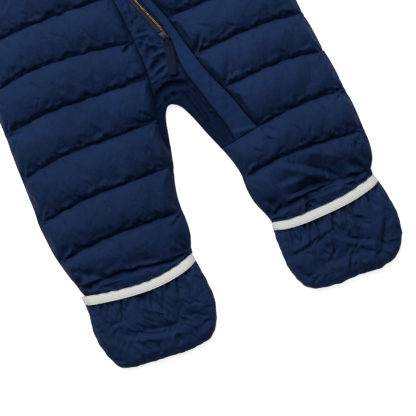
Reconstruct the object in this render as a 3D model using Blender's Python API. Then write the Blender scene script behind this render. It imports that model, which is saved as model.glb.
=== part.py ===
"""A baby's quilted snowsuit with fold-over foot covers, lying flat on its back.

Tables are in millimetres, measured from the crotch: x to the wearer's left, y towards the
collar, z up from the surface that it lies on. The solids are in metres, and their origin is
the middle of the whole garment's footprint.
"""

import math

import bmesh
import bpy
import numpy as np
from mathutils import Matrix, Vector

# ---------------------------------------------------------------- driving dimensions, mm
MM = 0.001
SEAM_GAP = 0.4           # from each piece to the line of a seam it shares
MIDDLE_X = -4.0          # the garment's centre line
FOOT_END = -260.0        # lowest point of the foot covers
COLLAR_END = 444.0       # top of the collar
BACK_THICK = 9.6         # the back and the soles, from the surface up
FRONT_FLOOR = 10.0       # underside of everything on the front
STITCH_THICK = 8.0       # quilted front at a sewn line
CROWN_THICK = 20.0       # quilted front between two sewn lines
CROWN_VARIES = 0.05      # share by which one puff is fuller than the next
LEG_CROWN_LESS = 5.0     # how much flatter the puffs are near the leg's end
HEM_FULLNESS = 0.45      # of the last short puff, against a whole one
SLEEVE_CROWN = 17.0
EDGE_THICK = 1.4         # at a side seam
STITCH_PINCH = 1.2       # how far a sewn line draws the side seam in
SEAM_THICK = 5.6         # at a seam between two front pieces
SIDE_ROUND = 15.0        # how far in a side seam's rounding reaches
SEAM_ROUND = 9.0         # the same at a seam between two front pieces
FACING_THICK = 3.4       # placket and gusset where something lies on them
WRINKLED_THICK = 6.4     # placket and gusset where they show
FLAP_FLOOR = 15.8        # underside of the storm flap
FLAP_THICK = 3.0
TAPE_THICK = 0.9
TEETH_SIZE = (2.6, 2.2)  # width and height of the row of teeth
ZIP_ENDS = (78.0, 432.0)        # y of the zip's lower and upper end
BAND_WIDTH = 10.0        # pale tape on the foot covers
BAND_THICK = 1.2
COVER_LENGTH = 86.0      # a foot cover from its edge to the toe, about
UNDERARM = (168.0, 225.0)     # from the centre line, and y
SHOULDER = (138.0, 385.0)
NECK_SIDE = (62.0, 402.0)
NECK_DROP_FRONT = 44.0
NECK_DROP_BACK = 12.0
SLEEVE_LENGTH = 270.0    # from the shoulder along its top edge
SLEEVE_ANGLE = 45.0      # degrees, from straight down the body
SLEEVE_BAFFLE = 48.0     # from one sewn line of the sleeve to the next
SLEEVE_HEM = 8.0         # from the cuff to the first sewn line
CUFF_WIDTH = 88.0
CUFF_LENGTH = 17.0
CUFF_GATHERED = 78.0     # width of the gathered binding
CUFF_WALL = 6.0          # gathered and padded
CUFF_LEVELS = (3.1, 12.5)       # middle of the cuff's wall below and above
COLLAR_WALL = 7.6
COLLAR_LEVELS = (4.0, 14.6)     # middle of the collar's wall at the back and at the front
COLLAR_HALF = 64.0       # half the collar's width, to the middle of its wall

NAVY = (0.012, 0.030, 0.092)
CHARCOAL = (0.018, 0.018, 0.030)
PALE_GREY = (0.70, 0.71, 0.69)
BRASS = (0.35, 0.22, 0.06)

# ---------------------------------------------------------------- outline of the legs
# y, then x of: right leg outside, right leg inside, left leg inside, left leg outside
LEG_SECTIONS = (
    (-176.0, -180.6, -48.0, 45.0, 171.0),
    (-166.0, -177.6, -48.6, 45.4, 169.8),
    (-158.0, -175.8, -48.0, 44.2, 170.2),
    (-148.0, -178.0, -45.2, 41.0, 175.8),
    (-140.0, -180.0, -42.0, 38.0, 178.5),
    (-120.0, -184.5, -39.0, 35.5, 181.5),
    (-100.0, -188.5, -38.0, 36.5, 181.8),
    (-80.0, -189.4, -33.5, 33.0, 182.0),
    (-60.0, -190.2, -26.0, 26.5, 181.0),
    (-40.0, -187.6, -20.6, 20.0, 180.0),
    (-20.0, -187.0, -15.5, 14.0, 178.5),
    (-10.0, -186.3, -12.0, 10.0, 177.2),
    (-4.0, -186.0, -9.2, 5.8, 176.8),
    (-1.0, -185.9, -6.2, 2.6, 176.6),
    (0.5, -185.8, -4.0, -1.0, 176.5),
)
# y, then x of both sides of the body up to the underarm
BODY_SECTIONS = (
    (0.5, -185.8, 176.5),
    (20.0, -184.3, 175.2),
    (40.0, -183.0, 173.4),
    (80.0, -180.5, 172.0),
    (130.0, -177.0, 168.8),
    (180.0, -174.0, 165.8),
    (UNDERARM[1], MIDDLE_X - UNDERARM[0], MIDDLE_X + UNDERARM[0]),
)
# y, then distance of the armhole from the centre line
ARMHOLE_SECTIONS = (
    (UNDERARM[1], UNDERARM[0]),
    (243.0, 150.5),
    (275.0, 139.0),
    (320.0, 134.0),
    SHOULDER[::-1],
)
# y, then x of: the right front's seam, zip tape's edge, row of teeth, flap's edge, flap's seam
CENTRE_SECTIONS = (
    (-70.0, -23.6, 26.6, 26.6, 47.2, 78.2),
    (-46.0, -24.2, 26.6, 26.6, 45.0, 69.8),
    (-27.0, -25.0, 26.6, 26.6, 40.4, 65.2),
    (-2.5, -20.0, 26.6, 26.6, 34.8, 56.8),
    (16.0, -15.6, 26.6, 26.6, 30.4, 50.4),
    (38.0, -11.2, 26.0, 26.6, 27.6, 44.8),
    (63.0, -9.2, 19.6, 26.2, 28.9, 40.2),
    (79.0, -9.4, 18.4, 25.2, 27.4, 37.2),
    (94.0, -9.7, 13.8, 20.6, 23.4, 33.8),
    (110.0, -10.0, 8.6, 15.4, 18.6, 28.6),
    (130.0, -11.3, 2.6, 9.4, 12.8, 24.0),
    (160.0, -14.0, -5.0, 1.6, 5.4, 19.6),
    (200.0, -16.6, -10.4, -3.8, 0.4, 17.4),
    (260.0, -17.6, -11.4, -4.8, -0.6, 17.0),
    (COLLAR_END, -17.6, -11.4, -4.8, -0.6, 17.0),
)
# sewn lines: y at four places across each leg and front, from the side seam inwards
RIGHT_PLACES = (-188.0, -130.0, -75.0, -20.0)
RIGHT_LINES = (
    (-107.0, -104.0, -108.0, -114.0),
    (-60.0, -56.0, -59.0, -63.0),
    (-8.0, -2.5, -6.5, -10.5),
    (44.0, 47.5, 43.0, 37.0),
    (90.5, 97.0, 92.0, 81.0),
)
LEFT_PLACES = (180.0, 130.0, 85.0, 40.0)
LEFT_LINES = (
    (-115.0, -107.5, -104.0, -107.0),
    (-65.5, -60.5, -62.0, -67.0),
    (-17.5, -8.5, -7.5, -8.5),
    (29.0, 37.5, 39.0, 38.0),
    (80.0, 84.0, 86.0, 87.0),
)
HIDDEN_LINES = (140.0, 190.0, 240.0, 290.0, 340.0)
HIDDEN_SAG = (0.0, 3.0, 1.0, -4.0)
# leg ends: x, upper edge of the pale tape, height of the last short puff above it
RIGHT_LEG_END = (
    (-181.0, -150.8, 11.0),
    (-160.0, -156.0, 13.0),
    (-137.5, -161.0, 18.0),
    (-97.0, -165.4, 15.0),
    (-75.0, -164.0, 11.0),
    (-45.0, -157.6, 7.0),
)
LEFT_LEG_END = (
    (40.0, -163.8, 12.0),
    (65.6, -168.8, 14.0),
    (97.0, -170.6, 16.0),
    (131.0, -169.6, 16.0),
    (175.0, -162.4, 12.0),
)
# foot covers' seams, from the band round the foot: share of each curve, x, y
RIGHT_TOE = ((0.0, -178.6, -231.0), (0.05, -173.8, -240.0), (0.11, -165.0, -244.0),
             (0.3, -142.0, -248.6), (0.5, -118.0, -252.0), (0.78, -82.0, -254.2),
             (0.89, -69.0, -251.6), (0.95, -60.6, -245.4), (1.0, -53.6, -234.6))
RIGHT_SIDES = ((0.0, -180.4, -49.2), (0.25, -180.6, -47.6), (0.5, -184.4, -46.6),
               (0.75, -183.6, -47.4), (1.0, -178.6, -53.6))
LEFT_TOE = ((0.0, 44.4, -234.0), (0.05, 49.6, -244.4), (0.11, 57.4, -250.6),
            (0.22, 75.0, -255.6), (0.5, 108.0, -257.6), (0.78, 141.0, -260.0),
            (0.89, 155.0, -255.6), (0.95, 164.0, -247.4), (1.0, 171.6, -235.0))
LEFT_SIDES = ((0.0, 44.6, 169.6), (0.25, 42.4, 173.4), (0.5, 41.2, 175.2),
              (0.75, 40.8, 175.6), (1.0, 44.4, 171.6))
# gusset: x and y on its inner edge round the notch, x and y on its upper edge
GUSSET_SECTIONS = (
    (-21.4, -43.0, -23.2, -41.0),
    (-17.6, -29.0, -24.4, -24.0),
    (-13.6, -14.0, -20.4, -5.0),
    (-9.4, -4.4, -17.2, 11.0),
    (-5.6, -0.4, -13.2, 25.4),
    (-1.6, 0.5, 2.0, 28.0),
    (2.2, -0.8, 20.0, 27.0),
    (5.8, -4.0, 33.0, 25.6),
    (9.4, -9.2, 46.6, 24.4),
    (12.6, -17.0, 51.6, 9.0),
    (16.2, -27.0, 58.0, -9.0),
    (20.4, -41.0, 65.4, -33.0),
    (25.4, -56.0, 71.2, -52.0),
    (28.8, -66.2, 75.6, -64.6),
)
# foot covers' largest folds: x and y of both ends, depth, half width
RIGHT_FOLDS = (
    (-150.0, -207.0, -82.0, -216.0, 3.0, 8.0),
    (-124.0, -236.0, -104.0, -198.0, 2.2, 7.0),
    (-170.0, -206.0, -150.0, -228.0, 1.8, 7.0),
    (-98.0, -186.0, -72.0, -216.0, 2.2, 7.0),
    (-140.0, -190.0, -150.0, -212.0, 1.8, 6.0),
)
LEFT_FOLDS = (
    (62.0, -198.0, 98.0, -208.0, 2.8, 7.0),
    (98.0, -208.0, 146.0, -196.0, 2.8, 7.0),
    (112.0, -184.0, 134.0, -204.0, 2.2, 7.0),
    (150.0, -186.0, 148.0, -222.0, 2.2, 7.0),
    (80.0, -226.0, 118.0, -240.0, 1.8, 8.0),
)
GATHER_PITCH = 11.0      # of the small pleats below each pale tape
GATHER_DEPTH = 1.3
GATHER_REACH = 24.0
# left leg's deep slanting folds: x and y of both ends, depth, half width
LEG_FOLDS = (
    (78.0, -116.0, 138.0, -150.0, 6.5, 11.0),
    (96.0, -126.0, 84.0, -152.0, 4.5, 10.0),
    (124.0, -122.0, 162.0, -142.0, 4.0, 10.0),
)
# shares of one puff, from one sewn line to the next, at which it has a row of points
PUFF_ROWS = (0.0, 0.1, 0.33, 0.67, 0.9)
SHORT_PUFF_ROWS = (0.0, 0.35, 0.7)
SLEEVE_PUFF_ROWS = (0.0, 0.14, 0.5, 0.86)
KNEE_ROW = 3.0           # the sewn line on which the storm flap and the gusset end
BELOW_KNEE_COLUMNS = (1.3, 1.62, 1.84, 1.95, 2.0)    # past the seam, to the leg's inside
PANEL_COLUMNS = (0.0, 0.012, 0.04, 0.09, 0.18, 0.3, 0.42, 0.53, 0.63, 0.72, 0.81, 0.89, 0.95,
                 0.982, 1.0)
COVER_COLUMNS = (0.0, 0.015, 0.045, 0.1, 0.17, 0.25, 0.34, 0.43, 0.52, 0.61, 0.7, 0.78, 0.85,
                 0.91, 0.955, 0.985, 1.0)


# ---------------------------------------------------------------- curves
def smooth_curve(knots, values):
    """A function that runs smoothly through the values at the rising knots."""
    knots = np.array(knots, float)
    values = np.array(values, float)
    slopes = np.gradient(values, knots)

    def at(place):
        place = min(max(place, knots[0]), knots[-1])
        i = min(int(np.searchsorted(knots, place, side="right")) - 1, len(knots) - 2)
        span = knots[i + 1] - knots[i]
        s = (place - knots[i]) / span
        start = (1 + 2 * s) * (1 - s) ** 2 * values[i] + s * (1 - s) ** 2 * span * slopes[i]
        end = s * s * (3 - 2 * s) * values[i + 1] + s * s * (s - 1) * span * slopes[i + 1]
        return float(start + end)

    return at


def column(table, index):
    """A curve through one column of a table, by the table's first column."""
    rows = sorted(table)
    return smooth_curve([row[0] for row in rows], [row[index] for row in rows])


def mix(a, b, share):
    return a + (b - a) * share


def ease(value):
    """0 below 0, 1 above 1, and smooth between."""
    value = min(max(value, 0.0), 1.0)
    return value * value * (3 - 2 * value)


def rounding(distance, reach):
    """The height of a quarter round that starts at an edge: 0 there, 1 at its reach."""
    share = min(max(distance / reach, 0.0), 1.0)
    return math.sqrt(1 - (1 - share) ** 2)


leg_right_out = column(LEG_SECTIONS, 1)
leg_right_in = column(LEG_SECTIONS, 2)
leg_left_in = column(LEG_SECTIONS, 3)
leg_left_out = column(LEG_SECTIONS, 4)
body_right = column(BODY_SECTIONS, 1)
body_left = column(BODY_SECTIONS, 2)
armhole = column(ARMHOLE_SECTIONS, 1)
right_seam = column(CENTRE_SECTIONS, 1)
tape_edge = column(CENTRE_SECTIONS, 2)
teeth_edge = column(CENTRE_SECTIONS, 3)
flap_edge = column(CENTRE_SECTIONS, 4)
flap_seam = column(CENTRE_SECTIONS, 5)
right_band = column(RIGHT_LEG_END, 1)
right_hem = column(RIGHT_LEG_END, 2)
left_band = column(LEFT_LEG_END, 1)
left_hem = column(LEFT_LEG_END, 2)
knee_line = smooth_curve(LEFT_PLACES[::-1], LEFT_LINES[1][::-1])


def side_x(y, sign):
    """The outer edge at a height: the leg, the body's side, then the armhole."""
    if y > UNDERARM[1]:
        return MIDDLE_X + sign * (armhole(y) - SEAM_GAP)
    if y > LEG_SECTIONS[-1][0]:
        return body_left(y) if sign > 0 else body_right(y)
    return leg_left_out(y) if sign > 0 else leg_right_out(y)


def top_y(x, neck_drop):
    """The upper edge: the shoulder slope, then the neckline."""
    across = abs(x - MIDDLE_X)
    if across >= NECK_SIDE[0]:
        share = (across - NECK_SIDE[0]) / (SHOULDER[0] - NECK_SIDE[0])
        return mix(NECK_SIDE[1], SHOULDER[1], share)
    return NECK_SIDE[1] - neck_drop * (1 + math.cos(math.pi * across / NECK_SIDE[0])) / 2


def fold_depth(folds, x, y):
    """How deep the listed folds cut in at a point, each soft and fading to its ends."""
    total = 0.0
    for x0, y0, x1, y1, depth, half in folds:
        run = (x1 - x0, y1 - y0)
        length = math.hypot(*run)
        along = ((x - x0) * run[0] + (y - y0) * run[1]) / length ** 2
        off = abs((x - x0) * run[1] - (y - y0) * run[0]) / length
        if -0.2 < along < 1.2 and off < half:
            fade = ease((along + 0.2) / 0.4) * ease((1.2 - along) / 0.4)
            total += depth * fade * (1 - ease(off / half))
    return total


# ---------------------------------------------------------------- making solids
def make_material(name, colour, roughness, metallic=0.0):
    material = bpy.data.materials.new(name)
    material.use_nodes = True
    shader = material.node_tree.nodes["Principled BSDF"]
    shader.inputs["Base Color"].default_value = (*colour, 1.0)
    shader.inputs["Roughness"].default_value = roughness
    shader.inputs["Metallic"].default_value = metallic
    return material


def place(x, y, z):
    """A table's point in metres, in the part's own frame."""
    return ((x - MIDDLE_X) * MM, (y - (FOOT_END + COLLAR_END) / 2) * MM, z * MM)


def finish(name, bm, finish_of):
    """Turn a bmesh into an object with its own material."""
    bmesh.ops.remove_doubles(bm, verts=bm.verts, dist=0.00002)
    bmesh.ops.recalc_face_normals(bm, faces=bm.faces)
    mesh = bpy.data.meshes.new(name)
    bm.to_mesh(mesh)
    bm.free()
    mesh.shade_smooth()
    mesh.set_sharp_from_angle(angle=math.radians(40))
    obj = bpy.data.objects.new(name, mesh)
    bpy.context.collection.objects.link(obj)
    mesh.materials.append(make_material(name, *finish_of))
    return obj


def grid_of(bm, columns, rows, point):
    """A grid whose point (i, j) lies at point(columns[i], rows[j]); returns its vertices."""
    before = len(bm.verts)
    bmesh.ops.create_grid(bm, x_segments=len(columns) - 1, y_segments=len(rows) - 1, size=1.0)
    bm.verts.ensure_lookup_table()
    verts = bm.verts[before:]
    for number, vert in enumerate(verts):
        j, i = divmod(number, len(columns))
        vert.co = place(*point(columns[i], rows[j]))
    return verts


def inset_loop(verts, edges, inset):
    """Inward moves, in the plane, for the vertices of closed loops of edges."""
    neighbours = {vert: [] for vert in verts}
    for edge in edges:
        for vert in edge.verts:
            neighbours[vert].append(edge.other_vert(vert))
    start = verts[0]
    loop = [start, neighbours[start][0]]
    while True:
        options = [v for v in neighbours[loop[-1]] if v is not loop[-2]]
        if options[0] is start:
            break
        loop.append(options[0])
    area = sum(a.co.x * b.co.y - b.co.x * a.co.y for a, b in zip(loop, loop[1:] + loop[:1]))
    turn = 1.0 if area > 0 else -1.0
    moves = {}
    for i, vert in enumerate(loop):
        before = loop[i - 1].co
        after = loop[(i + 1) % len(loop)].co
        run = np.array([after.x - before.x, after.y - before.y])
        run /= max(np.linalg.norm(run), 1e-9)
        moves[vert] = (-run[1] * turn * inset * MM, run[0] * turn * inset * MM)
    return moves


def close_below(bm, rings):
    """Take the open edge of a surface down through rings of (inset, z), then close it."""
    edges = [edge for edge in bm.edges if edge.is_boundary]
    inset_before = 0.0
    for inset, height in rings:
        made = bmesh.ops.extrude_edge_only(bm, edges=edges)["geom"]
        verts = [item for item in made if isinstance(item, bmesh.types.BMVert)]
        edges = [item for item in made if isinstance(item, bmesh.types.BMEdge)]
        edges = [edge for edge in edges if edge.is_boundary]
        if inset > inset_before:
            moves = inset_loop(verts, edges, inset - inset_before)
            for vert, (dx, dy) in moves.items():
                vert.co.x += dx
                vert.co.y += dy
        for vert in verts:
            vert.co.z = height * MM
        inset_before = inset
    bmesh.ops.contextual_create(bm, geom=edges)


def flat_slab(name, outline, rings, finish_of):
    """A padded piece with flat faces: the outline goes through rings of (inset, z)."""
    bm = bmesh.new()
    verts = [bm.verts.new(place(x, y, rings[0][1])) for x, y in outline]
    bm.faces.new(verts)
    close_below(bm, rings[1:])
    return finish(name, bm, finish_of)


def layer_on(name, columns, rows, point, thickness, finish_of):
    """A thin piece that follows a surface: its underside is at point, its top higher."""
    bm = bmesh.new()
    grid_of(bm, columns, rows, point)
    made = bmesh.ops.extrude_face_region(bm, geom=bm.faces[:])["geom"]
    for item in made:
        if isinstance(item, bmesh.types.BMVert):
            item.co.z += thickness * MM
    return finish(name, bm, finish_of)


NAVY_CLOTH = (NAVY, 0.42)
NAVY_FACING = (NAVY, 0.5)
TAPE_CLOTH = (CHARCOAL, 0.8)
REFLECTIVE = (PALE_GREY, 0.45)
METAL = (BRASS, 0.35, 1.0)


# ---------------------------------------------------------------- quilted fronts
def puff(share):
    """Height of the filling between two sewn lines, 0 at each and 1 halfway."""
    return (max(4 * share * (1 - share), 0.0)) ** 0.55


def line_rows(lines, places, band, hem, top):
    """Functions y(x) for every sewn line of one side, from the leg's end to the top."""
    order = sorted(range(len(places)), key=lambda i: places[i])
    knots = [places[i] for i in order]
    rows = [lambda x: band(x) + SEAM_GAP, lambda x: band(x) + hem(x)]
    for heights in lines:
        rows.append(smooth_curve(knots, [heights[i] for i in order]))
    for height in HIDDEN_LINES:
        rows.append(smooth_curve(knots, [height + HIDDEN_SAG[i] for i in order]))
    rows.append(top)
    return rows


def front_rows(line_count):
    """Row numbers of a front: the whole part is the puff's number, the rest its share."""
    rows = [float(share) for share in SHORT_PUFF_ROWS]
    for number in range(1, line_count - 1):
        rows += [number + share for share in PUFF_ROWS]
    return rows + [float(line_count - 1)]


def front_point(side, lines, outer, inner, inner_is_seam):
    """A function for the point of a front at (share across from the side seam, row)."""
    def point(across, row):
        number = min(int(row), len(lines) - 2)
        share = row - number
        y = lines[number](side * 100.0)
        x = 0.0
        for _ in range(6):
            x = mix(outer(y), inner(y), across)
            y = mix(lines[number](x), lines[number + 1](x), share)
        width = abs(inner(y) - outer(y))
        crown = CROWN_THICK - LEG_CROWN_LESS * ease((-95.0 - y) / 50.0)
        crown *= 1 + CROWN_VARIES * math.sin(2.3 * number + x / 37.0)
        high = mix(STITCH_THICK, crown, puff(share) * (HEM_FULLNESS if number == 0 else 1.0))
        high -= fold_depth(LEG_FOLDS, x, y) if side > 0 else 0.0
        at_seam = ease((y + 52.0) / 10.0) if inner_is_seam is None else inner_is_seam
        inner_edge = mix(EDGE_THICK, SEAM_THICK, at_seam)
        inner_reach = mix(SIDE_ROUND, SEAM_ROUND, at_seam)
        outer_edge = SEAM_THICK if y > UNDERARM[1] else EDGE_THICK
        outer_reach = SEAM_ROUND if y > UNDERARM[1] else SIDE_ROUND
        high = mix(outer_edge, high, rounding(across * width, outer_reach))
        high = mix(inner_edge, high, rounding((1 - across) * width, inner_reach))
        pinch = STITCH_PINCH * (1 - puff(share)) * max(0.0, 1 - across * width / 8.0)
        return x - side * pinch, y, FRONT_FLOOR + high

    return point


def right_inner(y):
    """Inner edge of the right front: the leg's inside, then the seam by the placket."""
    return min(leg_right_in(min(y, 0.5)), 0.0) if y < -47.0 else right_seam(y) - SEAM_GAP


def left_inner(y):
    """Inner edge of the left front above the knee: the seam beside the storm flap."""
    return flap_seam(y) + SEAM_GAP


def make_front_right():
    lines = line_rows(RIGHT_LINES, RIGHT_PLACES, right_band, right_hem,
                      lambda x: top_y(x, NECK_DROP_FRONT) - SEAM_GAP)
    point = front_point(-1, lines, lambda y: side_x(y, -1), right_inner, None)
    bm = bmesh.new()
    grid_of(bm, PANEL_COLUMNS, front_rows(len(lines)), point)
    close_below(bm, [(0.0, FRONT_FLOOR)])
    return finish("front_right", bm, NAVY_CLOTH)


def make_front_left():
    """The left front, with the part of the leg that runs inwards below the flap's end."""
    lines = line_rows(LEFT_LINES, LEFT_PLACES, left_band, left_hem,
                      lambda x: top_y(x, NECK_DROP_FRONT) - SEAM_GAP)
    above_line = front_point(1, lines, lambda y: side_x(y, 1), left_inner, 1.0)
    whole_leg = front_point(1, lines, lambda y: side_x(y, 1), leg_left_in, 0.0)
    seam_x, seam_y, _ = above_line(1.0, KNEE_ROW)
    seam_share = (side_x(seam_y, 1) - seam_x) / (side_x(seam_y, 1) - leg_left_in(seam_y))

    def below_line(across, row):
        """Across the whole leg, its columns lined up with the upper ones at the knee."""
        if across > 1.0:
            return whole_leg(mix(seam_share, 1.0, across - 1.0), row)
        if row == KNEE_ROW:
            return above_line(across, row)
        return whole_leg(across * seam_share, row)

    bm = bmesh.new()
    rows = front_rows(len(lines))
    below = [row for row in rows if row <= KNEE_ROW]
    above = [row for row in rows if row >= KNEE_ROW]
    grid_of(bm, PANEL_COLUMNS + BELOW_KNEE_COLUMNS, below, below_line)
    grid_of(bm, PANEL_COLUMNS, above, above_line)
    bmesh.ops.remove_doubles(bm, verts=bm.verts, dist=0.00005)
    close_below(bm, [(0.0, FRONT_FLOOR)])
    return finish("front_left", bm, NAVY_CLOTH)


# ---------------------------------------------------------------- backs and soles
def steps(start, end, count):
    return [mix(start, end, i / count) for i in range(count + 1)]


def back_outline(side):
    """Round one half of the back: up its side, over the shoulder, down to the leg's end."""
    band = left_band if side > 0 else right_band
    inside = leg_left_in if side > 0 else leg_right_in
    middle = MIDDLE_X + side * SEAM_GAP
    foot_out = band(side_x(-160.0, side)) + SEAM_GAP
    foot_in = band(inside(-162.0)) + SEAM_GAP
    points = [(side_x(y, side), y) for y in steps(foot_out, UNDERARM[1], 26)]
    points += [(side_x(y, side), y) for y in (232.0, 243.0, 256.0, 275.0, 300.0, 330.0, 360.0)]
    top = [mix(SHOULDER[0] - SEAM_GAP, SEAM_GAP, share) for share in steps(0, 1, 10)]
    points += [(MIDDLE_X + side * x, top_y(MIDDLE_X + side * x, NECK_DROP_BACK) - SEAM_GAP)
               for x in top]
    points += [(middle, y) for y in steps(360.0, 40.0, 8)]
    notch = [0.5, 0.2, -1.0, -4.0, -10.0, -20.0]
    points += [(middle, 0.8 if side > 0 else 0.3)]
    points += [(inside(y), y) for y in notch if side * (inside(y) - middle) > 0.5]
    points += [(inside(y), y) for y in steps(-32.0, foot_in, 10)]
    points += [(x, band(x) + SEAM_GAP)
               for x in steps(inside(foot_in), side_x(foot_out, side), 10)[1:-1]]
    return points


PADDED_RINGS = ((0.0, BACK_THICK), (0.0, 7.0), (1.2, 3.2), (4.0, 0.9), (8.0, 0.0))


def make_back(name, side):
    return flat_slab(name, back_outline(side), PADDED_RINGS, NAVY_CLOTH)


class Foot:
    """One foot cover's outline, worked from its band, sides and toe."""

    def __init__(self, toe, sides, band, folds):
        self.toe_x = smooth_curve([row[0] for row in toe], [row[1] for row in toe])
        self.toe_y = smooth_curve([row[0] for row in toe], [row[2] for row in toe])
        self.left_x = smooth_curve([row[0] for row in sides], [row[1] for row in sides])
        self.right_x = smooth_curve([row[0] for row in sides], [row[2] for row in sides])
        self.band = band
        self.folds = folds

    def plan(self, across, down):
        """A patch between the band at down = 0 and the toe's seam at down = 1."""
        start_x = mix(self.left_x(0.0), self.right_x(0.0), across)
        start_y = self.band(start_x) - SEAM_GAP
        flat_left = mix(self.left_x(0.0), self.toe_x(0.0), down)
        flat_right = mix(self.right_x(0.0), self.toe_x(1.0), down)
        bulge = mix(self.left_x(down) - flat_left, self.right_x(down) - flat_right, across)
        x = mix(start_x, self.toe_x(across), down) + bulge
        y = mix(start_y, self.toe_y(across), down)
        return x, y

    def point(self, across, down):
        x, y = self.plan(across, down)
        start_y = self.band(x) - SEAM_GAP
        width = self.right_x(down) - self.left_x(down)
        below = start_y - y
        to_toe = (1 - down) * COVER_LENGTH
        high = 9.6 + 2.4 * ease(below / 30.0) - 1.6 * ease((below - 45.0) / 30.0)
        if below > BAND_WIDTH:
            fade = 1 - ease((below - BAND_WIDTH) / GATHER_REACH)
            high += GATHER_DEPTH * fade * math.sin(2 * math.pi * x / GATHER_PITCH)
        high -= fold_depth(self.folds, x, y)
        high = mix(EDGE_THICK, high, rounding(across * width, SIDE_ROUND))
        high = mix(EDGE_THICK, high, rounding((1 - across) * width, SIDE_ROUND))
        high = mix(EDGE_THICK, high, rounding(to_toe, SIDE_ROUND))
        return x, y, FRONT_FLOOR + high


RIGHT_FOOT = Foot(RIGHT_TOE, RIGHT_SIDES, right_band, RIGHT_FOLDS)
LEFT_FOOT = Foot(LEFT_TOE, LEFT_SIDES, left_band, LEFT_FOLDS)
BAND_ROWS = tuple(share * BAND_WIDTH / COVER_LENGTH for share in (0.0, 0.5, 1.0))
COVER_ROWS = BAND_ROWS + (0.16, 0.23, 0.31, 0.4, 0.49, 0.58, 0.67, 0.76, 0.84, 0.91, 0.96,
                          0.985, 1.0)


def fine_columns():
    """The cover's columns, with one between each two near the gathers."""
    columns = list(COVER_COLUMNS)
    for a, b in zip(COVER_COLUMNS[4:], COVER_COLUMNS[5:-5]):
        columns.append(mix(a, b, 0.5))
    return tuple(sorted(columns))


def make_foot_cover(name, foot):
    bm = bmesh.new()
    grid_of(bm, fine_columns(), COVER_ROWS, foot.point)
    close_below(bm, [(0.0, FRONT_FLOOR)])
    return finish(name, bm, NAVY_FACING)


def make_foot_sole(name, foot):
    columns = COVER_COLUMNS
    outline = [foot.plan(across, 0.0) for across in steps(0, 1, 10)]
    outline += [foot.plan(1.0, down) for down in steps(0, 1, 8)[1:-1]]
    outline += [foot.plan(across, 1.0) for across in reversed(columns)]
    outline += [foot.plan(0.0, down) for down in steps(1, 0, 8)[1:-1]]
    return flat_slab(name, outline, PADDED_RINGS, NAVY_FACING)


def make_foot_band(name, foot):
    """The pale tape, made from the cover's own points and moved out."""
    def point(across, down):
        x, y, z = foot.point(across, down)
        return x, y, z + SEAM_GAP

    columns = fine_columns()[1:-1]
    return layer_on(name, columns, BAND_ROWS, point, BAND_THICK, REFLECTIVE)


# ---------------------------------------------------------------- crotch and front opening
def gusset_curves():
    places = [i / (len(GUSSET_SECTIONS) - 1) for i in range(len(GUSSET_SECTIONS))]
    return [smooth_curve(places, [row[i] for row in GUSSET_SECTIONS]) for i in range(4)]


def above_knee(x, y):
    """Keep a point of the flap or gusset above the sewn line that they end on."""
    return max(y, knee_line(x) + 2 * SEAM_GAP)


def make_gusset():
    inner_x, inner_y, outer_x, outer_y = gusset_curves()

    def point(across, along):
        x0, y0 = inner_x(along), inner_y(along)
        y1 = outer_y(along)
        x1 = min(max(outer_x(along), right_seam(y1) + 3 * SEAM_GAP), flap_seam(y1) - SEAM_GAP)
        y1 = min(y1, placket_foot(x1) - 3 * SEAM_GAP)
        x, y = mix(x0, x1, across), mix(y0, y1, across)
        y = above_knee(x, y)
        width = math.hypot(x1 - x0, y1 - y0)
        under_flap = ease((x - flap_edge(y) + 3.0) / 3.0)
        high = mix(WRINKLED_THICK - 1.6, FLAP_FLOOR - FRONT_FLOOR - SEAM_GAP, under_flap)
        shown = 1 - under_flap
        high += shown * 0.7 * math.sin(along * 46.0) * math.sin(math.pi * across)
        high = mix(EDGE_THICK, high, rounding(across * width, 6.0))
        return x, y, FRONT_FLOOR + high

    bm = bmesh.new()
    columns = (0.0, 0.07, 0.22, 0.42, 0.6, 0.8, 1.0)
    grid_of(bm, columns, steps(0.0, 1.0, 30), point)
    close_below(bm, [(0.0, FRONT_FLOOR)])
    return finish("crotch_gusset", bm, NAVY_FACING)


def placket_foot(x):
    """The curved seam where the placket meets the gusset."""
    return 29.4 - 0.0028 * (x - 4.0) ** 2


def front_top(x):
    """Upper edge of everything in the collar's front."""
    return 434.0 + 0.0028 * (x - MIDDLE_X) ** 2


def placket_height(x, y):
    """Thickness of the placket: wrinkled where it shows, thin under the tapes."""
    under_tape = ease((x - tape_edge(y) + 5.0) / 4.0)
    lower = ease((72.0 - y) / 8.0)
    thin = mix(FACING_THICK, FLAP_FLOOR - FRONT_FLOOR - 2 * SEAM_GAP, lower)
    shown = WRINKLED_THICK + 0.8 * math.sin(y / 6.3) * math.sin(x / 5.0 + y / 31.0)
    shown = mix(shown, FACING_THICK + 1.6, ease((y - 150.0) / 60.0))
    return mix(shown, thin, under_tape)


def placket_point(across, row):
    y = row
    for _ in range(4):
        x = mix(right_seam(y) + SEAM_GAP, flap_seam(y) - SEAM_GAP, across)
        y = mix(placket_foot(x), front_top(x), row_share(row))
    return x, y, FRONT_FLOOR + placket_height(x, y)


def row_share(y):
    """A height along the opening as a share of the placket's length."""
    return (y - placket_foot(4.0)) / (front_top(4.0) - placket_foot(4.0))


def opening_rows(start):
    """Heights along the opening, close together where it curves and wrinkles."""
    near = steps(start, 130.0, max(2, round((130.0 - start) / 5.5)))
    far = steps(130.0, 250.0, 8)[1:]
    return near + far + steps(250.0, front_top(4.0), 8)[1:]


def make_placket():
    bm = bmesh.new()
    columns = (0.0, 0.07, 0.16, 0.26, 0.38, 0.5, 0.62, 0.72, 0.8, 0.9, 1.0)
    grid_of(bm, columns, opening_rows(placket_foot(4.0)), placket_point)
    close_below(bm, [(0.0, FRONT_FLOOR)])
    return finish("placket", bm, NAVY_FACING)


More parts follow.
